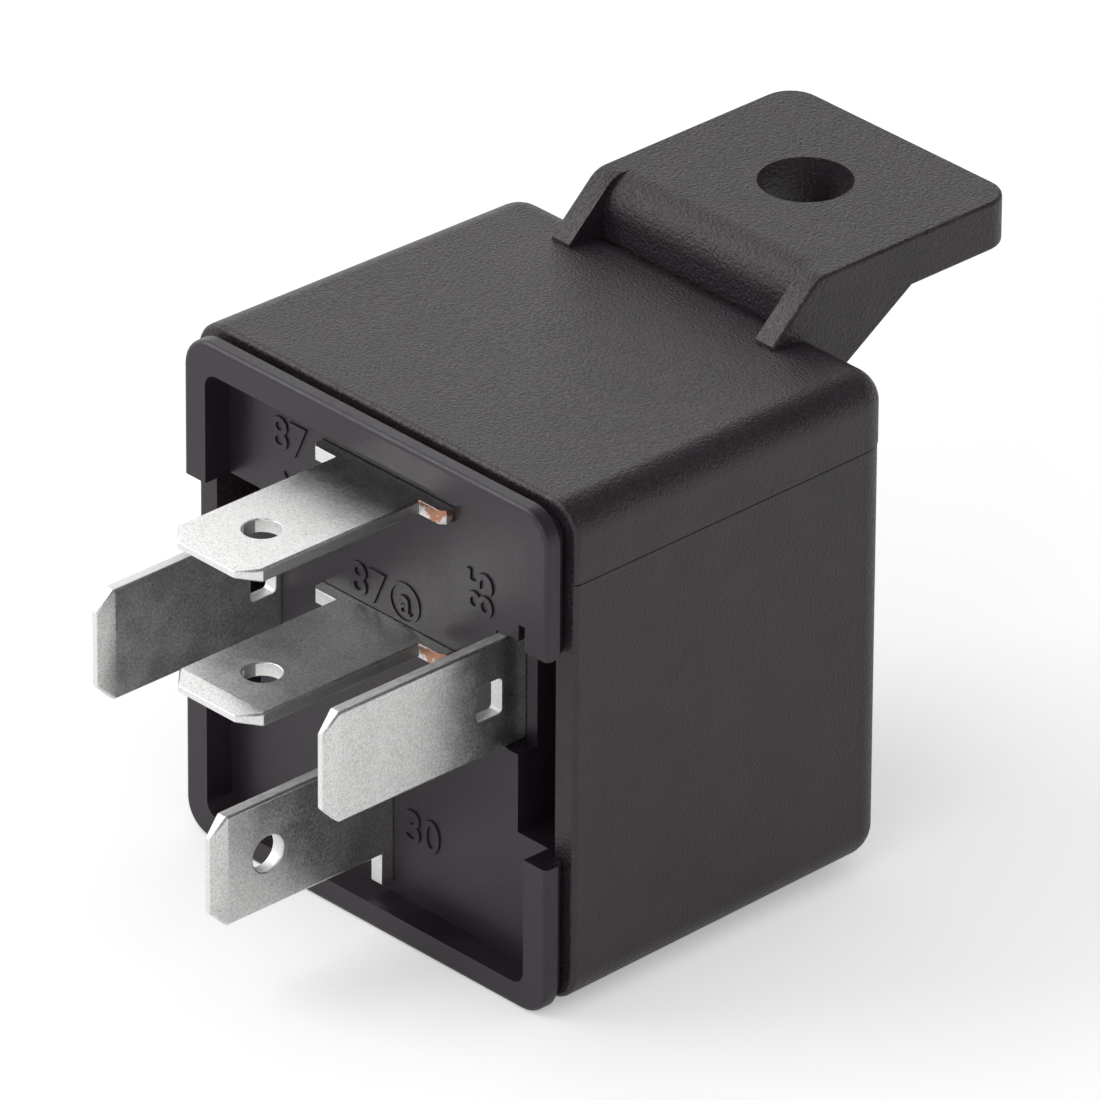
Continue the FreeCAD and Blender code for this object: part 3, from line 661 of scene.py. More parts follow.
def blanked_edge_painted_light(name, painted_light_tone):
    """Narrow faces of the blades, rubbed by the punch and rough along the sheet. The tone factor scales the tin's
    colour: above 1 it is a painted highlight, below 1 painted shade.
    """
    shader = Shader(name).set(Metallic=1.0)
    # painted light: the tin colour is raised for a painted highlight and lowered for painted shade
    colour = tone(tuple(colours().tin), painted_light_tone)
    drag = shader.noise(0.12 * MM, detail=3, stretch=(1, 4, 1))
    shader.feed(shader.shades(drag, tone(colour, 0.85), colour), "Base Color")
    shader.feed(shader.spread(drag, 0.5, 0.65), "Roughness")
    shader.bump(drag, 0.006 * MM, 1.0)
    return shader.material


def metal(name, colour, low, high, feature, stretch, height):
    """Metal with grain along one way."""
    shader = Shader(name).set(Metallic=1.0)
    cloud = shader.noise(1.6 * MM, detail=4)
    shader.feed(shader.shades(cloud, tone(colour, 0.85), tone(colour, 1.1)), "Base Color")
    grain = shader.noise(feature, detail=3, stretch=stretch)
    shader.feed(shader.spread(grain, low, high), "Roughness")
    shader.bump(grain, height, 0.7)
    return shader.material


def bobbin_plastic():
    """Natural glass-filled plastic with short fibres just under the skin."""
    shader = Shader("bobbin_plastic").set(IOR=1.5)
    colour = tuple(colours().bobbin)
    fibres = shader.noise(0.1 * MM, detail=2, stretch=(1, 6, 1))
    cloud = shader.noise(1.8 * MM, detail=3)
    shader.feed(shader.shades(cloud, tone(colour, 0.9), tone(colour, 1.08)), "Base Color")
    shader.feed(shader.spread(fibres, 0.4, 0.58), "Roughness")
    shader.bump(fibres, 0.005 * MM, 0.6)
    return shader.material


def enamelled_wire():
    """Copper under clear enamel."""
    shader = Shader("enamelled_wire").set(Metallic=1.0, Coat_Weight=0.6, Coat_Roughness=0.12)
    colour = tuple(colours().copper)
    cloud = shader.noise(0.8 * MM, detail=4, stretch=(1, 0.3, 1))
    shader.feed(shader.shades(cloud, tone(colour, 0.75), tone(colour, 1.25)), "Base Color")
    shader.feed(shader.spread(cloud, 0.26, 0.4), "Roughness")
    return shader.material


def lacquer(name, colour):
    """Glossy lacquer with a slight orange-peel skin."""
    shader = Shader(name).set(Roughness=0.28, Coat_Weight=0.4, Coat_Roughness=0.1)
    skin = shader.noise(0.35 * MM, detail=2)
    shader.feed(shader.shades(skin, tone(colour, 0.9), tone(colour, 1.1)), "Base Color")
    shader.bump(skin, 0.008 * MM, 0.6)
    return shader.material


# Cover and fixing tab

def cover_ring(depth, inset, radius, step):
    """One section of the cover. step lifts the sides above the parting line, which is a fine groove."""
    side = HALF_WIDTH - math.tan(math.radians(SIDE_DRAFT)) * depth - inset
    top = COVER_HEIGHT - math.tan(math.radians(TOP_DRAFT)) * depth - inset
    bottom = math.tan(math.radians(BOTTOM_DRAFT)) * depth + inset
    line = PARTING_HEIGHT
    cut = side - step * 2
    points = arc((side - radius, bottom + radius), radius, -90, 0, 8)
    points += [(side, line - 0.05), (cut, line - 0.035), (cut, line + 0.035), (side + step, line + 0.05)]
    points += arc((side + step - radius, top - radius), radius, 0, 90, 8)
    points += arc((-side - step + radius, top - radius), radius, 90, 180, 8)
    points += [(-side - step, line + 0.05), (-cut, line + 0.035), (-cut, line - 0.035), (-side, line - 0.05)]
    points += arc((-side + radius, bottom + radius), radius, 180, 270, 8)
    return [at(x, depth, z) for x, z in points]


def make_cover_shell():
    """Drafted box with a rounded back, a thin wall and a small step along its parting line."""
    step = sizes().parting_step / MM
    inner_radius = 0.4
    mouth = 0.3
    rings = [cover_ring(COVER_DEPTH - COVER_WALL, COVER_WALL, inner_radius, 0),
             cover_ring(0.0, COVER_WALL, inner_radius, 0),
             cover_ring(0.0, mouth, COVER_RADIUS - mouth, step),
             cover_ring(mouth * 0.08, mouth * 0.62, COVER_RADIUS - mouth * 0.62, step),
             cover_ring(mouth * 0.29, mouth * 0.29, COVER_RADIUS - mouth * 0.29, step),
             cover_ring(mouth * 0.62, mouth * 0.08, COVER_RADIUS - mouth * 0.08, step),
             cover_ring(mouth, 0.0, COVER_RADIUS, step)]
    start = COVER_DEPTH - COVER_RADIUS
    turns = 9
    for index in range(turns + 1):
        angle = math.pi / 2 * index / turns
        inset = COVER_RADIUS * (1 - math.cos(angle))
        rings.append(cover_ring(start + COVER_RADIUS * math.sin(angle), inset,
                                max(COVER_RADIUS - inset, 0.12), step))
    return loft("cover", rings)


def make_tab():
    """Plate with a rolled front edge, rounded ends and a web, between two cheeks."""
    low = TAB_TOP - TAB_THICKNESS
    flat = WEB_FRONT + TAB_NOSE
    web_back = WEB_FRONT + WEB_THICKNESS
    foot = low - CHEEK_DROP
    wide = TAB_HALF + 1
    section = [(TAB_END + 1, low), (TAB_END + 1, TAB_TOP)]
    section += arc((flat, TAB_TOP - TAB_NOSE), TAB_NOSE, 90, 180, 16)
    section += [(WEB_FRONT, COVER_HEIGHT - 0.6), (COVER_DEPTH - 0.7, foot), (COVER_DEPTH, foot),
                (web_back, foot + 1.2), (web_back, low)]
    tab = prism("tab", "x", section, -wide, wide)
    buried = COVER_HEIGHT - COVER_RADIUS + 0.2
    hidden = COVER_DEPTH - COVER_WALL + 0.1
    lean = math.degrees(math.atan2(TAB_TOP - COVER_HEIGHT, CHEEK_CREST - CHEEK_FOOT))
    over = CHEEK_CREST + CREST_RADIUS * math.tan(math.radians(lean / 2))
    cheek = [(CHEEK_FOOT, buried), (CHEEK_FOOT, COVER_HEIGHT)]
    cheek += arc((over, TAB_TOP - CREST_RADIUS), CREST_RADIUS, 90 + lean, 90, 6)
    cheek += [(flat, TAB_TOP), (flat + 0.1, TAB_TOP - 0.5), (COVER_DEPTH + CHEEK_BACK - 0.3, TAB_TOP - 0.5),
              (COVER_DEPTH + CHEEK_BACK, low), (COVER_DEPTH, foot - 0.4), (hidden, foot - 0.4),
              (hidden, buried)]
    for side in (-1, 1):
        inner = side * (TAB_HALF - CHEEK)
        outer = side * wide
        work(tab, "UNION", prism("cheek", "x", cheek, min(inner, outer), max(inner, outer)))
    side = TAB_HALF - TAB_CORNER
    end = TAB_END - TAB_CORNER
    outline = [(-TAB_HALF, CHEEK_FOOT - 1), (TAB_HALF, CHEEK_FOOT - 1)]
    outline += arc((side, end), TAB_CORNER, 0, 90, 10) + arc((-side, end), TAB_CORNER, 90, 180, 10)
    work(tab, "INTERSECT", prism("outline", "z", outline, foot - 1, TAB_TOP + 1))
    tidy_mesh(tab)
    corner = at(0, end, 0).y
    round_edges(tab, TAB_EDGE * MM, lambda point: point.y > corner or abs(point.x) > (TAB_HALF - 0.01) * MM)
    return tab


def snap_lugs(grow):
    """The base's four snap lugs or, grown a little, their pockets in the cover."""
    end = PLUG_BACK + SKIRT_LENGTH - 0.3
    low = COVER_WALL + PLUG_CLEARANCE + 0.1
    for z, way in ((low, -1), (COVER_HEIGHT - low, 1)):
        outline = [(end - 1.4 - grow, z - way * 0.4), (end - 1.4 - grow, z + way * (0.35 + grow)),
                   (end + grow, z + way * grow), (end + grow, z - way * 0.4)]
        for x in (-4.5, 4.5):
            yield prism("lug", "x", outline, x - 2 - grow, x + 2 + grow)


def build_cover():
    """Cover and tab in one moulding."""
    cover = make_cover_shell()
    sill = block("sill", -TRAY_HALF - 0.45, TRAY_HALF + 0.45, -0.5, 1.15, TRAY_LOW - 0.45, 1.6)
    work(cover, "DIFFERENCE", sill, *snap_lugs(0.15))
    work(cover, "UNION", make_tab())
    hole = rod("hole", "z", (0, TAB_END - TAB_HOLE_FROM_END), TAB_HOLE_RADIUS,
               TAB_TOP - TAB_THICKNESS - 1, TAB_TOP + 1, 72)
    work(cover, "DIFFERENCE", hole)
    tidy_mesh(cover)
    soften(cover, sizes().edge_softness)
    piece(cover, BODY, "cover_plastic", cover_plastic(), "cover")


# Base

def riser_outline(grow):
    """Outline of the part of terminal 87a that climbs past terminal 87."""
    low = HEIGHT_87A - BLADE_THICK / 2 - grow
    half = SHOULDER_HALF + grow
    shelf = HEIGHT_87A + 3.2 + grow
    return [(-half, low), (half, low), (half, low + 1.2), (NC_ARM_OUTER + grow, low + 2.4),
            (NC_ARM_OUTER + grow, NC_ARM_TOP + grow), (NC_ARM_INNER - grow, NC_ARM_TOP + grow),
            (NC_ARM_INNER - grow, shelf), (-half, shelf - 1.5)]


def slot_tools():
    """Cutters for the five terminals."""
    half = BLADE_THICK / 2 + SLOT_GAP
    wide = SHOULDER_HALF + SLOT_GAP
    narrow = BLADE_HALF + SLOT_GAP
    d0 = -LIP_FRONT - 1
    d1 = PLUG_BACK + 0.55
    for z in (HEIGHT_87, HEIGHT_87A):
        yield block("slot", -wide, wide, d0, d1, z - half, z + half)
    yield block("slot", -half, half, d0, d1, HEIGHT_30 - wide, HEIGHT_30 + wide)
    for side in (-1, 1):
        x = side * COIL_BLADE_X
        yield block("slot", x - half, x + half, d0, d1, COIL_BLADE_HEIGHT - narrow,
                    COIL_BLADE_HEIGHT + narrow)


def make_lip():
    """Plate in front of the cover's rim, its front edge rounded and its back edge broken."""
    half = HALF_WIDTH - LIP_SIDE_INSET
    top = COVER_HEIGHT - LIP_TOP_INSET
    edge = LIP_EDGE
    turns = [(edge * (1 - math.sin(math.radians(a))), -LIP_FRONT + edge * (1 - math.cos(math.radians(a))))
             for a in range(0, 91, 15)]
    rings = [[at(x, depth, z) for x, z in
              rounded_outline(-half + inset, half - inset, -LIP_DROP + inset, top - inset,
                              COVER_RADIUS - inset)]
             for inset, depth in turns + [(0, -LIP_BACK - 0.1), (0.1, -LIP_BACK)]]
    return loft("base", rings)


def build_base():
    """Lip, neck, plug and skirts in one moulding, with tray, windows and slots."""
    plug_half = HALF_WIDTH - COVER_WALL - PLUG_CLEARANCE
    plug_low = COVER_WALL + PLUG_CLEARANCE
    plug_high = COVER_HEIGHT - COVER_WALL - PLUG_CLEARANCE
    neck_half = HALF_WIDTH - NECK_INSET
    base = make_lip()
    neck = prism("neck", "y", rounded_outline(-neck_half, neck_half, TRAY_LOW - 0.4,
                                              COVER_HEIGHT - NECK_INSET, 0.8), -LIP_BACK - 0.1, -0.05)
    plug = prism("plug", "y", rounded_outline(-plug_half, plug_half, plug_low, plug_high, 0.4, 4),
                 -LIP_BACK - 0.1, PLUG_BACK)
    sill = block("sill", -TRAY_HALF - 0.4, TRAY_HALF + 0.4, -LIP_BACK - 0.1, 1.1, TRAY_LOW - 0.4,
                 plug_low + 0.2)
    work(base, "UNION", neck, plug, sill)
    for z0, z1 in ((plug_low + 0.1, plug_low + 0.1 + SKIRT_THICKNESS),
                   (plug_high - 0.1 - SKIRT_THICKNESS, plug_high - 0.1)):
        work(base, "UNION", block("skirt", -SKIRT_HALF, SKIRT_HALF, PLUG_BACK - 0.5,
                                  PLUG_BACK + SKIRT_LENGTH, z0, z1))
    work(base, "UNION", *snap_lugs(0))
    for side in (-1, 1):
        work(base, "UNION", block("rib", side * 5.0 - 0.6, side * 5.0 + 0.6, PLUG_BACK - 0.1,
                                  PLUG_BACK + 0.5, 3.2, HEIGHT_87A - BLADE_THICK))
    tray = prism("tray", "y", rounded_outline(-TRAY_HALF, TRAY_HALF, TRAY_LOW, TRAY_HIGH, TRAY_RADIUS),
                 -LIP_FRONT - 1, FLOOR)
    work(base, "DIFFERENCE", tray)
    middle = COVER_HEIGHT / 2
    for side in (-1, 1):
        inner = side * WINDOW_EDGE
        outer = side * (HALF_WIDTH + 1)
        work(base, "DIFFERENCE", block("window", min(inner, outer), max(inner, outer), -LIP_FRONT - 1,
                                       PLUG_BACK + SKIRT_LENGTH + 1, middle - WINDOW_HEIGHT / 2,
                                       middle + WINDOW_HEIGHT / 2))
        beside = side * (COIL_BLADE_X + BLADE_THICK / 2)
        work(base, "DIFFERENCE", block("pocket", min(beside, inner + side * 0.1), max(beside, inner + side * 0.1),
                                       -LIP_FRONT - 1, FLOOR + 1.3, COIL_BLADE_HEIGHT - BLADE_HALF - 0.1,
                                       COIL_BLADE_HEIGHT + BLADE_HALF + 0.1))
    work(base, "DIFFERENCE", *slot_tools())
    pocket = prism("pocket", "y", riser_outline(SLOT_GAP * 2), RISER_BACK - BLADE_THICK - SLOT_GAP,
                   PLUG_BACK + 1)
    arm_way = block("arm_way", NC_ARM_INNER - 0.2, NC_ARM_OUTER + 0.2, PLUG_BACK - 0.01,
                    PLUG_BACK + SKIRT_LENGTH + 1, NC_ARM_TOP - 1.2, NC_ARM_TOP + 0.1)
    work(base, "DIFFERENCE", pocket, arm_way)
    tidy_mesh(base)
    soften(base, sizes().edge_softness * 0.7)
    piece(base, BODY, "base_plastic", base_plastic(), "base")


def numeral(text, x, z, height, turn=0.0):
    """Raised figures on the tray's floor, read from the blade side."""
    curve = bpy.data.curves.new("numeral", "FONT")
    curve.body = text
    curve.size = height * 1.4
    curve.align_x = "CENTER"
    curve.align_y = "CENTER"
    curve.offset = 0.012 * MM
    curve.extrude = sizes().numeral_relief / 2
    curve.bevel_depth = sizes().numeral_relief * 0.2
    curve.resolution_u = 3
    obj = put("numeral", curve)
    place = at(x, FLOOR, z)
    place.y -= sizes().numeral_relief / 2 - 0.01 * MM
    obj.matrix_world = (Matrix.Translation(place) @ Matrix.Rotation(math.radians(90), 4, "X")
                        @ Matrix.Rotation(math.radians(turn), 4, "Z"))
    return obj


def build_pin_numbers():
    """Plain pin numbers beside the terminals."""
    height = sizes().numeral_height
    parts = [numeral("87", -7.4, 23.9, height), numeral("87", -1.5, 17.95, height),
             numeral("a", 1.25, 18.05, height * 0.85), numeral("30", 2.6, 5.2, height),
             numeral("85", 6.9, 20.9, height, 90), numeral("86", -6.9, 20.9, height, 90)]
    ring = turned("ring", (1.25, 18.05), [(1.0, FLOOR - 0.08), (1.12, FLOOR - 0.08),
                                          (1.12, FLOOR + 0.02), (1.0, FLOOR + 0.02)], 48)
    numbers = join_meshes("pin_numbers", parts + [ring])
    piece(numbers, BODY, "base_plastic", base_plastic())


# Terminals

def blade_section(half, thin, x, z, depth, upright):
    """Eight-sided section of a blade at one depth."""
    cut = min(0.12, thin * 0.45)
    flat = [(half - cut, -thin), (half, -thin + cut), (half, thin - cut), (half - cut, thin),
            (-half + cut, thin), (-half, thin - cut), (-half, -thin + cut), (-half + cut, -thin)]
    if upright:
        return [at(x - b, depth, z + a) for a, b in flat]
    return [at(x + a, depth, z + b) for a, b in flat]


def make_blade(name, x, z, upright, root):
    """Blade with tapered tip and cut corners."""
    full = BLADE_THICK / 2
    sections = [(BLADE_HALF - 1.0, full - 0.22, -BLADE_TIP),
                (BLADE_HALF, full - 0.02, -BLADE_TIP + 1.0),
                (BLADE_HALF, full, -BLADE_TIP + 1.1), (BLADE_HALF, full, root)]
    return loft(name, [blade_section(half, thin, x, z, depth, upright)
                       for half, thin, depth in sections])


def drill_lock_hole(blade, x, z, upright):
    """Locking hole with a small countersink on both faces."""
    depth = -BLADE_TIP + LOCK_HOLE_FROM_TIP
    rise = 0.06
    face = BLADE_THICK / 2
    along = [(-face - 0.3, LOCK_HOLE_RADIUS + rise + 0.3), (-face + rise, LOCK_HOLE_RADIUS),
             (face - rise, LOCK_HOLE_RADIUS), (face + 0.3, LOCK_HOLE_RADIUS + rise + 0.3)]
    rings = []
    for offset, radius in along:
        circle = arc((0, 0), radius, 0, 360 - 7.5, 47)
        if upright:
            rings.append([at(x + offset, depth + a, z + b) for a, b in circle])
        else:
            rings.append([at(x + a, depth + b, z + offset) for a, b in circle])
    work(blade, "DIFFERENCE", loft("drill", rings))


def finish_terminal(terminal, node, upright):
    """Soften and paint a terminal: tin on its faces, rubbed edges with a painted highlight, painted shade on the
    flat blades' side edges, and torn metal on a right shoulder.
    """
    tidy_mesh(terminal)
    known = bpy.data.materials
    # lit and shaded copies of the rubbed edge material: painted highlight (1.15) and painted shade (0.4)
    for material in (known.get("tinned_sheet") or tinned_sheet(),
                     known.get("painted_highlight_edge") or blanked_edge_painted_light("painted_highlight_edge", 1.15),
                     known.get("painted_shade_edge") or blanked_edge_painted_light("painted_shade_edge", 0.4),
                     known.get("sheared_metal") or sheared_metal()):
        terminal.data.materials.append(material)
    for polygon in terminal.data.polygons:
        broad = abs(polygon.normal.x if upright else polygon.normal.z)
        if broad < 0.4 and polygon.center.y < at(0, FLOOR, 0).y:
            # painted shade on the flat blades' side edges that face across; the other narrow faces get the
            # painted highlight copy
            along = abs(polygon.normal.x) > 0.9 and abs(polygon.center.x) < (BLADE_HALF + 0.1) * MM
            polygon.material_index = 2 if along else 1
        if not upright and torn_shoulder(polygon.center, polygon.normal):
            polygon.material_index = 3
    soften(terminal, sizes().sheet_softness, 2)
    piece(terminal, BODY, "tinned_blade", None, node)


def torn_shoulder(centre, normal):
    """Test for the cut faces of a flat blade's right shoulder, which tore when the sheet was cut."""
    outside = centre.x > (BLADE_HALF + 0.1) * MM
    near = at(0, SHOULDER_FRONT - 0.1, 0).y < centre.y < at(0, FLOOR + 2.0, 0).y
    return outside and near and abs(normal.z) < 0.5


def shoulder_outline(back):
    """Wide part of a flat blade, its front corners broken by the punch."""
    cut = 0.28
    return [(-SHOULDER_HALF, back), (-SHOULDER_HALF, SHOULDER_FRONT + cut),
            (-SHOULDER_HALF + cut, SHOULDER_FRONT), (SHOULDER_HALF - cut, SHOULDER_FRONT),
            (SHOULDER_HALF, SHOULDER_FRONT + cut), (SHOULDER_HALF, back)]


def build_terminal_87():
    """Blade, wide body, strip over the coil and the leg of the fixed contact."""
    z = HEIGHT_87
    face = BLADE_THICK / 2
    terminal = make_blade("terminal_87", 0, z, False, FLOOR + 0.4)
    drill_lock_hole(terminal, 0, z, False)
    shoulder_back = RISER_BACK - BLADE_THICK - 0.3
    work(terminal, "UNION", prism("body", "z", shoulder_outline(shoulder_back), z - face, z + face))
    bend = 0.9
    leg_front = NO_LEG_BACK - BLADE_THICK
    leg_low = CONTACT_HEIGHT - 2.1
    side = [(shoulder_back - 0.2, z - face), (shoulder_back - 0.2, z + face)]
    side += arc((NO_LEG_BACK - bend, z + face - bend), bend, 90, 0, 8)
    side += [(NO_LEG_BACK, leg_low), (leg_front, leg_low), (leg_front, z - face)]
    strip = prism("strip", "x", side, -BLADE_HALF, BLADE_HALF)
    for way in (-1, 1):
        work(strip, "DIFFERENCE", block("trim", min(way * 2.75, way * 4), max(way * 2.75, way * 4),
                                        leg_front - 2, NO_LEG_BACK + 1, 5, z - face - 0.2))
    work(terminal, "UNION", strip)
    work(terminal, "DIFFERENCE", rod("shank", "y", (0, CONTACT_HEIGHT), 0.75, leg_front - 1,
                                     NO_LEG_BACK + 1))
    finish_terminal(terminal, "terminal_87", False)


def build_terminal_87a():
    """Blade, riser, arm beside 87 and the leg of the closed contact."""
    z = HEIGHT_87A
    face = BLADE_THICK / 2
    terminal = make_blade("terminal_87a", 0, z, False, FLOOR + 0.4)
    drill_lock_hole(terminal, 0, z, False)
    riser_front = RISER_BACK - BLADE_THICK
    work(terminal, "UNION", prism("body", "z", shoulder_outline(RISER_BACK), z - face, z + face))
    work(terminal, "UNION", prism("riser", "y", riser_outline(0), riser_front, RISER_BACK - 0.001))
    work(terminal, "UNION", block("arm", NC_ARM_INNER, NC_ARM_OUTER, riser_front, NC_LEG_BACK,
                                  NC_ARM_TOP - BLADE_THICK, NC_ARM_TOP))
    low = CONTACT_HEIGHT - 2.15
    leg = [(-2.4, low), (2.4, low), (NC_ARM_OUTER, low + 2.6), (NC_ARM_OUTER, NC_ARM_TOP - 0.001),
           (NC_ARM_INNER, NC_ARM_TOP - 0.001), (NC_ARM_INNER - 1.2, NC_ARM_TOP - 1.8),
           (-2.4, NC_ARM_TOP - 1.8)]
    work(terminal, "UNION", prism("leg", "y", leg, NC_LEG_BACK - BLADE_THICK, NC_LEG_BACK - 0.001))
    work(terminal, "DIFFERENCE", rod("shank", "y", (0, CONTACT_HEIGHT), 0.75,
                                     NC_LEG_BACK - BLADE_THICK - 1, NC_LEG_BACK + 1))
    finish_terminal(terminal, "terminal_87a", False)


def build_terminal_30():
    """Upright blade with its wide body and the tongue that is staked in the yoke."""
    z = HEIGHT_30
    face = BLADE_THICK / 2
    terminal = make_blade("terminal_30", 0, z, True, FLOOR + 0.4)
    drill_lock_hole(terminal, 0, z, True)
    yoke_front = PLUG_BACK + 0.5
    work(terminal, "UNION",
         block("body", -face, face, SHOULDER_FRONT, yoke_front, z - SHOULDER_HALF, z + SHOULDER_HALF),
         block("tongue", -face, face, yoke_front - 0.2, TONGUE_END, 5.2, 8.2))
    finish_terminal(terminal, "terminal_30", True)


def build_coil_terminal(node, side):
    """Upright blade with a window at its root and a tail for the wire."""
    x = side * COIL_BLADE_X
    z = COIL_BLADE_HEIGHT
    face = BLADE_THICK / 2
    terminal = make_blade(node, x, z, True, PLUG_BACK)
    window = prism("window", "x", rounded_outline(FLOOR - 2.1, FLOOR - 0.4, z - 1, z + 1, 0.25, 4),
                   x - 1, x + 1)
    work(terminal, "DIFFERENCE", window)
    work(terminal, "UNION", block("tail", x - face, x + face, PLUG_BACK - 0.1, COIL_TAIL_END,
                                  z - 1, z + 1))
    finish_terminal(terminal, node, True)


# Coil and contacts

def build_winding():
    """Winding with its turns side by side."""
    thick = sizes().wire_thickness / MM
    turns = int((WINDING_END - WINDING_START) / thick)
    pitch = (WINDING_END - WINDING_START) / turns
    profile = [(4.2, WINDING_START), ]
    for turn in range(turns):
        start = WINDING_START + turn * pitch
        for share, lift in ((0.06, 0.55), (0.28, 0.12), (0.5, 0.0), (0.72, 0.12), (0.94, 0.55)):
            profile.append((WINDING_RADIUS - lift * thick / 2, start + share * pitch))
    profile.append((4.2, WINDING_END))
    winding = turned("coil_winding", (0, COIL_HEIGHT), profile, 72)
    winding.data.polygons.foreach_set("use_smooth", [True] * len(winding.data.polygons))
    piece(winding, BODY, "copper_wire", enamelled_wire(), "coil_winding")


def build_wire_end(node, side):
    """Wire wound round a coil terminal's tail and led to the winding."""
    x = side * COIL_BLADE_X
    radius = sizes().wire_thickness / 2
    turns = sizes().wrap_turns
    last = COIL_TAIL_END - 0.5
    pitch = radius * 2.1 / MM
    start = last - turns * pitch
    points = []
    steps = 16
    for step in range(turns * steps + 1):
        angle = -math.pi / 2 + 2 * math.pi * step / steps
        points.append(at(x + 0.66 * math.copysign(abs(math.cos(angle)) ** 0.7, math.cos(angle)) * -side,
                         last - pitch * step / steps,
                         COIL_BLADE_HEIGHT + 1.24 * math.copysign(abs(math.sin(angle)) ** 0.7,
                                                                  math.sin(angle))))
    rise = math.radians(12)
    reach = WINDING_RADIUS + radius / MM
    finish = at(side * reach * math.cos(rise), start - 0.05, COIL_HEIGHT + reach * math.sin(rise))
    middle = (points[-1] + finish) / 2 + Vector((side * 0.0002, 0, -0.0004))
    coil = wire(node, points + [middle, finish], radius)
    piece(coil, BODY, "copper_wire", bpy.data.materials["enamelled_wire"], node)


def build_resistor():
    """Dog-bone body with colour bands and tinned leads."""
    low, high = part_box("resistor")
    radius = 1.15
    half = 3.1
    height = (high.z - LIFT) / MM - radius
    depth = (high.y - RIM) / MM - radius
    profile = []
    for share, size in ((0.0, 0.3), (0.0, 0.55), (0.03, 0.85), (0.1, 1.0), (0.2, 1.0), (0.27, 0.86),
                        (0.33, 0.8), (0.5, 0.8), (0.67, 0.8), (0.73, 0.86), (0.8, 1.0), (0.9, 1.0),
                        (0.97, 0.85), (1.0, 0.55), (1.0, 0.3)):
        profile.append((-half + 2 * half * share, radius * size))
    rings = [[at(x, depth + size * math.cos(math.radians(a)), height + size * math.sin(math.radians(a)))
              for a in range(0, 360, 10)] for x, size in profile]
    body = loft("resistor_body", rings)
    shell = lacquer("resistor_lacquer", tuple(colours().resistor))
    body.data.materials.append(shell)
    bands = ((-2.1, (0.35, 0.12, 0.04)), (-0.9, (0.02, 0.02, 0.02)), (0.2, (0.5, 0.03, 0.02)),
             (2.1, (0.6, 0.42, 0.1)))
    for x, colour in bands:
        ring = [[at(x + shift, depth + size * math.cos(math.radians(a)),
                    height + size * math.sin(math.radians(a))) for a in range(0, 360, 10)]
                for shift, size in ((-0.24, 0.7), (-0.24, 0.935 if abs(x) < 1.5 else 1.165),
                                    (0.24, 0.935 if abs(x) < 1.5 else 1.165), (0.24, 0.7))]
        band = loft("band", ring)
        band.data.materials.append(lacquer("band_%d" % int(x * 10), colour))
        body = join_meshes("resistor_body", [body, band])
    parts = [body]
    tail_top = COIL_BLADE_HEIGHT + 1
    for side in (-1, 1):
        x = side * COIL_BLADE_X
        points = [at(side * (half - 0.2), depth, height), at(side * (half + 0.6), depth, height),
                  at(x - side * 0.9, depth, height), at(x, depth, height), at(x, depth - 0.6, height - 1),
                  at(x, PLUG_BACK + 2.0, tail_top + 1.2), at(x, PLUG_BACK + 1.6, tail_top + 0.05)]
        lead = wire("lead", points, 0.3 * MM, 4)
        lead.data.materials.append(bpy.data.materials["tinned_sheet"])
        parts.append(lead)
    resistor = join_meshes("resistor", parts)
    resistor.data.polygons.foreach_set("use_smooth", [True] * len(resistor.data.polygons))
    piece(resistor, BODY, "resistor_body", None, "resistor")


# Stage

def aim(obj, target):
    """Turn a light to a target."""
    obj.rotation_euler = (Vector(target) - obj.location).to_track_quat("-Z", "Y").to_euler()


def soft_light(name, place, target, size, power):
    """Square soft light."""
    data = bpy.data.lights.new(name, "AREA")
    data.shape = "SQUARE"
    data.size = size
    data.energy = power
    obj = bpy.data.objects.new(name, data)
    obj.location = place
    bpy.context.scene.collection.objects.link(obj)
    aim(obj, target)
    return obj


def build_camera():
    """Camera at the photograph's angle, fitted to the object's own edges."""
    settings = stage_settings()
    azimuth = settings.azimuth
    elevation = settings.elevation
    back = Vector((math.sin(azimuth) * math.cos(elevation), -math.cos(azimuth) * math.cos(elevation),
                   math.sin(elevation)))
    level = Vector((math.cos(azimuth), math.sin(azimuth), 0))
    upward = back.cross(level)
    right = level * math.cos(settings.roll) + upward * math.sin(settings.roll)
    up = upward * math.cos(settings.roll) - level * math.sin(settings.roll)
    shift_right = 8.401 * MM
    shift_up = 18.064 * MM
    data = bpy.data.cameras.new("camera")
    data.lens = settings.lens
    data.sensor_width = 36
    data.clip_start = 0.05
    data.clip_end = 20
    camera = bpy.data.objects.new("camera", data)
    turn = Matrix((right, up, back)).transposed().to_4x4()
    camera.matrix_world = Matrix.Translation(
        at(0, 0, 0) + back * settings.distance + right * shift_right + up * shift_up) @ turn
    bpy.context.scene.collection.objects.link(camera)
    bpy.context.scene.camera = camera


def seen_ray(nodes, links):
    """1 for camera, glossy and transmission rays."""
    path = nodes.new("ShaderNodeLightPath")
    first = nodes.new("ShaderNodeMath")
    first.operation = "MAXIMUM"
    links.new(path.outputs["Is Camera Ray"], first.inputs[0])
    links.new(path.outputs["Is Glossy Ray"], first.inputs[1])
    second = nodes.new("ShaderNodeMath")
    second.operation = "MAXIMUM"
    links.new(first.outputs["Value"], second.inputs[0])
    links.new(path.outputs["Is Transmission Ray"], second.inputs[1])
    return path, second.outputs["Value"]


def world_band(nodes, links, source, start, end, low, high):
    """Brightness that runs from low to high as one direction component runs from start to end."""
    node = nodes.new("ShaderNodeMapRange")
    for name, value in (("From Min", start), ("From Max", end), ("To Min", low), ("To Max", high)):
        node.inputs[name].default_value = value
    links.new(source, node.inputs["Value"])
    return node.outputs["Result"]


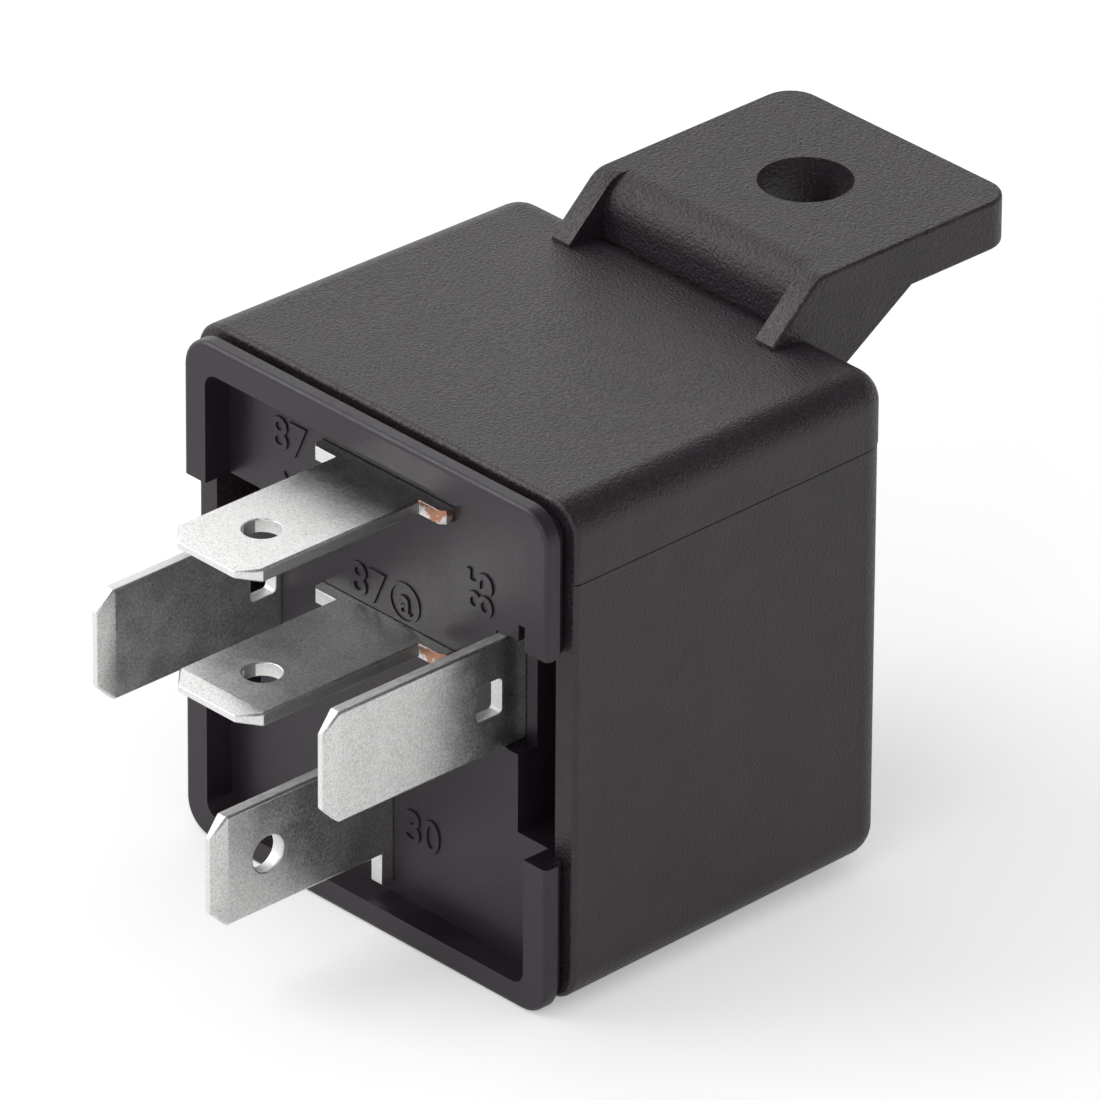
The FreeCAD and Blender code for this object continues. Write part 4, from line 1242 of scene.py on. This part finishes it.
def build_world():
    """Even light; gloss sees a bright left, a bright horizon and a darker ceiling."""
    settings = stage_settings()
    world = bpy.data.worlds.new("studio")
    world.use_nodes = True
    nodes = world.node_tree.nodes
    links = world.node_tree.links
    nodes.clear()
    output = nodes.new("ShaderNodeOutputWorld")
    ambient = nodes.new("ShaderNodeBackground")
    ambient.inputs["Strength"].default_value = settings.ambient
    backdrop = nodes.new("ShaderNodeBackground")
    mirrored = nodes.new("ShaderNodeBackground")
    for background in (ambient, backdrop, mirrored):
        background.inputs["Color"].default_value = (1, 1, 1, 1)
    where = nodes.new("ShaderNodeTexCoord")
    split = nodes.new("ShaderNodeSeparateXYZ")
    links.new(where.outputs["Generated"], split.inputs["Vector"])
    left = world_band(nodes, links, split.outputs["X"], -0.2, -0.6, settings.ceiling, settings.left_wall)
    low = world_band(nodes, links, split.outputs["Z"], 0.25, 0.02, settings.ceiling, 1.0)
    level = nodes.new("ShaderNodeMath")
    level.operation = "MAXIMUM"
    links.new(left, level.inputs[0])
    links.new(low, level.inputs[1])
    links.new(level.outputs["Value"], mirrored.inputs["Strength"])
    path, seen = seen_ray(nodes, links)
    inner = nodes.new("ShaderNodeMixShader")
    links.new(path.outputs["Is Camera Ray"], inner.inputs["Fac"])
    links.new(mirrored.outputs["Background"], inner.inputs[1])
    links.new(backdrop.outputs["Background"], inner.inputs[2])
    outer = nodes.new("ShaderNodeMixShader")
    links.new(seen, outer.inputs["Fac"])
    links.new(ambient.outputs["Background"], outer.inputs[1])
    links.new(inner.outputs["Shader"], outer.inputs[2])
    links.new(outer.outputs["Shader"], output.inputs["Surface"])
    bpy.context.scene.world = world


def build_floor():
    """Pale floor that keeps the object's shadow."""
    bm = bmesh.new()
    bmesh.ops.create_grid(bm, x_segments=1, y_segments=1, size=2.5)
    floor = from_bmesh("floor", bm)
    for polygon in floor.data.polygons:
        if polygon.normal.z < 0:
            floor.data.flip_normals()
            break
    material = bpy.data.materials.new("floor")
    material.use_nodes = True
    nodes = material.node_tree.nodes
    links = material.node_tree.links
    nodes.clear()
    output = nodes.new("ShaderNodeOutputMaterial")
    diffuse = nodes.new("ShaderNodeBsdfDiffuse")
    diffuse.inputs["Color"].default_value = (*stage_settings().floor_colour, 1)
    glow = nodes.new("ShaderNodeEmission")
    glow.inputs["Color"].default_value = (1, 1, 1, 1)
    path, seen = seen_ray(nodes, links)
    share = nodes.new("ShaderNodeMath")
    share.operation = "MULTIPLY"
    share.inputs[1].default_value = 0.2
    links.new(seen, share.inputs[0])
    backdrop = nodes.new("ShaderNodeMath")
    backdrop.operation = "MULTIPLY_ADD"
    backdrop.inputs[1].default_value = 0.14
    links.new(path.outputs["Is Camera Ray"], backdrop.inputs[0])
    links.new(share.outputs["Value"], backdrop.inputs[2])
    links.new(backdrop.outputs["Value"], glow.inputs["Strength"])
    add = nodes.new("ShaderNodeAddShader")
    links.new(diffuse.outputs["BSDF"], add.inputs[0])
    links.new(glow.outputs["Emission"], add.inputs[1])
    links.new(add.outputs["Shader"], output.inputs["Surface"])
    floor.data.materials.append(material)


# Operators

class RelayOperator:
    """Shared by the operators."""
    bl_options = {"REGISTER", "UNDO"}


class RELAY_OT_cover(RelayOperator, bpy.types.Operator):
    """Build the cover with its fixing tab"""
    bl_idname = "relay.cover"
    bl_label = "Cover and tab"

    def execute(self, context):
        build_cover()
        return {"FINISHED"}


class RELAY_OT_base(RelayOperator, bpy.types.Operator):
    """Build the base with its tray, windows and slots"""
    bl_idname = "relay.base"
    bl_label = "Base"

    def execute(self, context):
        build_base()
        build_pin_numbers()
        return {"FINISHED"}


class RELAY_OT_contact_terminals(RelayOperator, bpy.types.Operator):
    """Build terminals 87, 87a and 30"""
    bl_idname = "relay.contact_terminals"
    bl_label = "Contact terminals"

    def execute(self, context):
        build_terminal_87()
        build_terminal_87a()
        build_terminal_30()
        return {"FINISHED"}


class RELAY_OT_coil_terminals(RelayOperator, bpy.types.Operator):
    """Build terminals 85 and 86"""
    bl_idname = "relay.coil_terminals"
    bl_label = "Coil terminals"

    def execute(self, context):
        build_coil_terminal("terminal_85", 1)
        build_coil_terminal("terminal_86", -1)
        return {"FINISHED"}


class RELAY_OT_coil(RelayOperator, bpy.types.Operator):
    """Build the winding, its wire ends and the resistor, and finish the bobbin"""
    bl_idname = "relay.coil"
    bl_label = "Coil"

    def execute(self, context):
        build_winding()
        build_wire_end("coil_lead_85", 1)
        build_wire_end("coil_lead_86", -1)
        build_resistor()
        paint_node("bobbin", bobbin_plastic())
        soften_solid("bobbin", 0.1 * MM)
        return {"FINISHED"}


class RELAY_OT_magnet(RelayOperator, bpy.types.Operator):
    """Finish the yoke, the core and the armature"""
    bl_idname = "relay.magnet"
    bl_label = "Magnet"

    def execute(self, context):
        plated = metal("plated_iron", tuple(colours().plated), 0.3, 0.45, 0.08 * MM, (1, 1, 14),
                       0.003 * MM)
        iron = metal("turned_iron", tuple(colours().iron), 0.32, 0.5, 0.05 * MM, (1, 1, 1), 0.004 * MM)
        for node in ("yoke", "armature"):
            paint_node(node, plated)
            soften_solid(node, 0.12 * MM)
        paint_node("core", iron)
        soften_solid("core", 0.1 * MM)
        return {"FINISHED"}


class RELAY_OT_contacts(RelayOperator, bpy.types.Operator):
    """Finish the contacts, the contact spring and its rivets"""
    bl_idname = "relay.contacts"
    bl_label = "Contacts"

    def execute(self, context):
        silver = metal("contact_silver", tuple(colours().silver), 0.16, 0.3, 0.06 * MM, (1, 1, 1),
                       0.003 * MM)
        for node in ("normally_open_contact", "normally_closed_contact", "moving_contact"):
            paint_node(node, silver)
            soften_solid(node, 0.08 * MM)
        bronze = metal("spring_bronze", tuple(colours().bronze), 0.24, 0.38, 0.06 * MM, (1, 1, 20),
                       0.002 * MM)
        paint_node("contact_spring", bronze)
        soften_solid("contact_spring", 0.04 * MM)
        rivet = metal("rivet_steel", tuple(colours().plated), 0.25, 0.4, 0.08 * MM, (1, 1, 1),
                      0.003 * MM)
        paint_node("armature_rivets", rivet)
        soften_solid("armature_rivets", 0.06 * MM)
        return {"FINISHED"}


class RELAY_OT_stage(RelayOperator, bpy.types.Operator):
    """Set up the floor, the lights, the world and the camera"""
    bl_idname = "relay.stage"
    bl_label = "Studio"

    def execute(self, context):
        build_camera()
        build_world()
        build_floor()
        settings = stage_settings()
        soft_light("key", (-0.42, -0.34, 0.5), (0, 0, 0.015), 0.4, settings.key_power)
        soft_light("fill", (0.2, -0.6, 0.3), (0, 0, 0.015), 0.4, settings.fill_power)
        bpy.context.scene.view_settings.view_transform = "Standard"
        return {"FINISHED"}


STEPS = (RELAY_OT_cover, RELAY_OT_base, RELAY_OT_contact_terminals, RELAY_OT_coil_terminals,
         RELAY_OT_coil, RELAY_OT_magnet, RELAY_OT_contacts, RELAY_OT_stage)


class RELAY_PT_panel(bpy.types.Panel):
    """Lists the building steps and the settings"""
    bl_idname = "RELAY_PT_panel"
    bl_label = "Relay"
    bl_space_type = "VIEW_3D"
    bl_region_type = "UI"
    bl_category = "Relay"

    def draw(self, context):
        layout = self.layout
        for step in STEPS:
            layout.operator(step.bl_idname)
        for group in (context.scene.relay_sizes, context.scene.relay_colours, context.scene.relay_stage):
            box = layout.box()
            for name in group.bl_rna.properties.keys():
                if name not in ("rna_type", "name"):
                    box.prop(group, name)


GROUPS = (("relay_sizes", RelaySizes), ("relay_colours", RelayColours), ("relay_stage", RelayStage))


def register():
    """Register the settings, the steps and the panel."""
    for name, group in GROUPS:
        bpy.utils.register_class(group)
        setattr(bpy.types.Scene, name, PointerProperty(type=group))
    for step in STEPS:
        bpy.utils.register_class(step)
    bpy.utils.register_class(RELAY_PT_panel)


def unregister():
    """Undo register."""
    bpy.utils.unregister_class(RELAY_PT_panel)
    for step in reversed(STEPS):
        bpy.utils.unregister_class(step)
    for name, group in reversed(GROUPS):
        delattr(bpy.types.Scene, name)
        bpy.utils.unregister_class(group)


def main():
    """Register the steps and build everything in order."""
    register()
    bpy.ops.relay.cover()
    bpy.ops.relay.base()
    bpy.ops.relay.contact_terminals()
    bpy.ops.relay.coil_terminals()
    bpy.ops.relay.coil()
    bpy.ops.relay.magnet()
    bpy.ops.relay.contacts()
    bpy.ops.relay.stage()


if __name__ == "__main__":
    main()
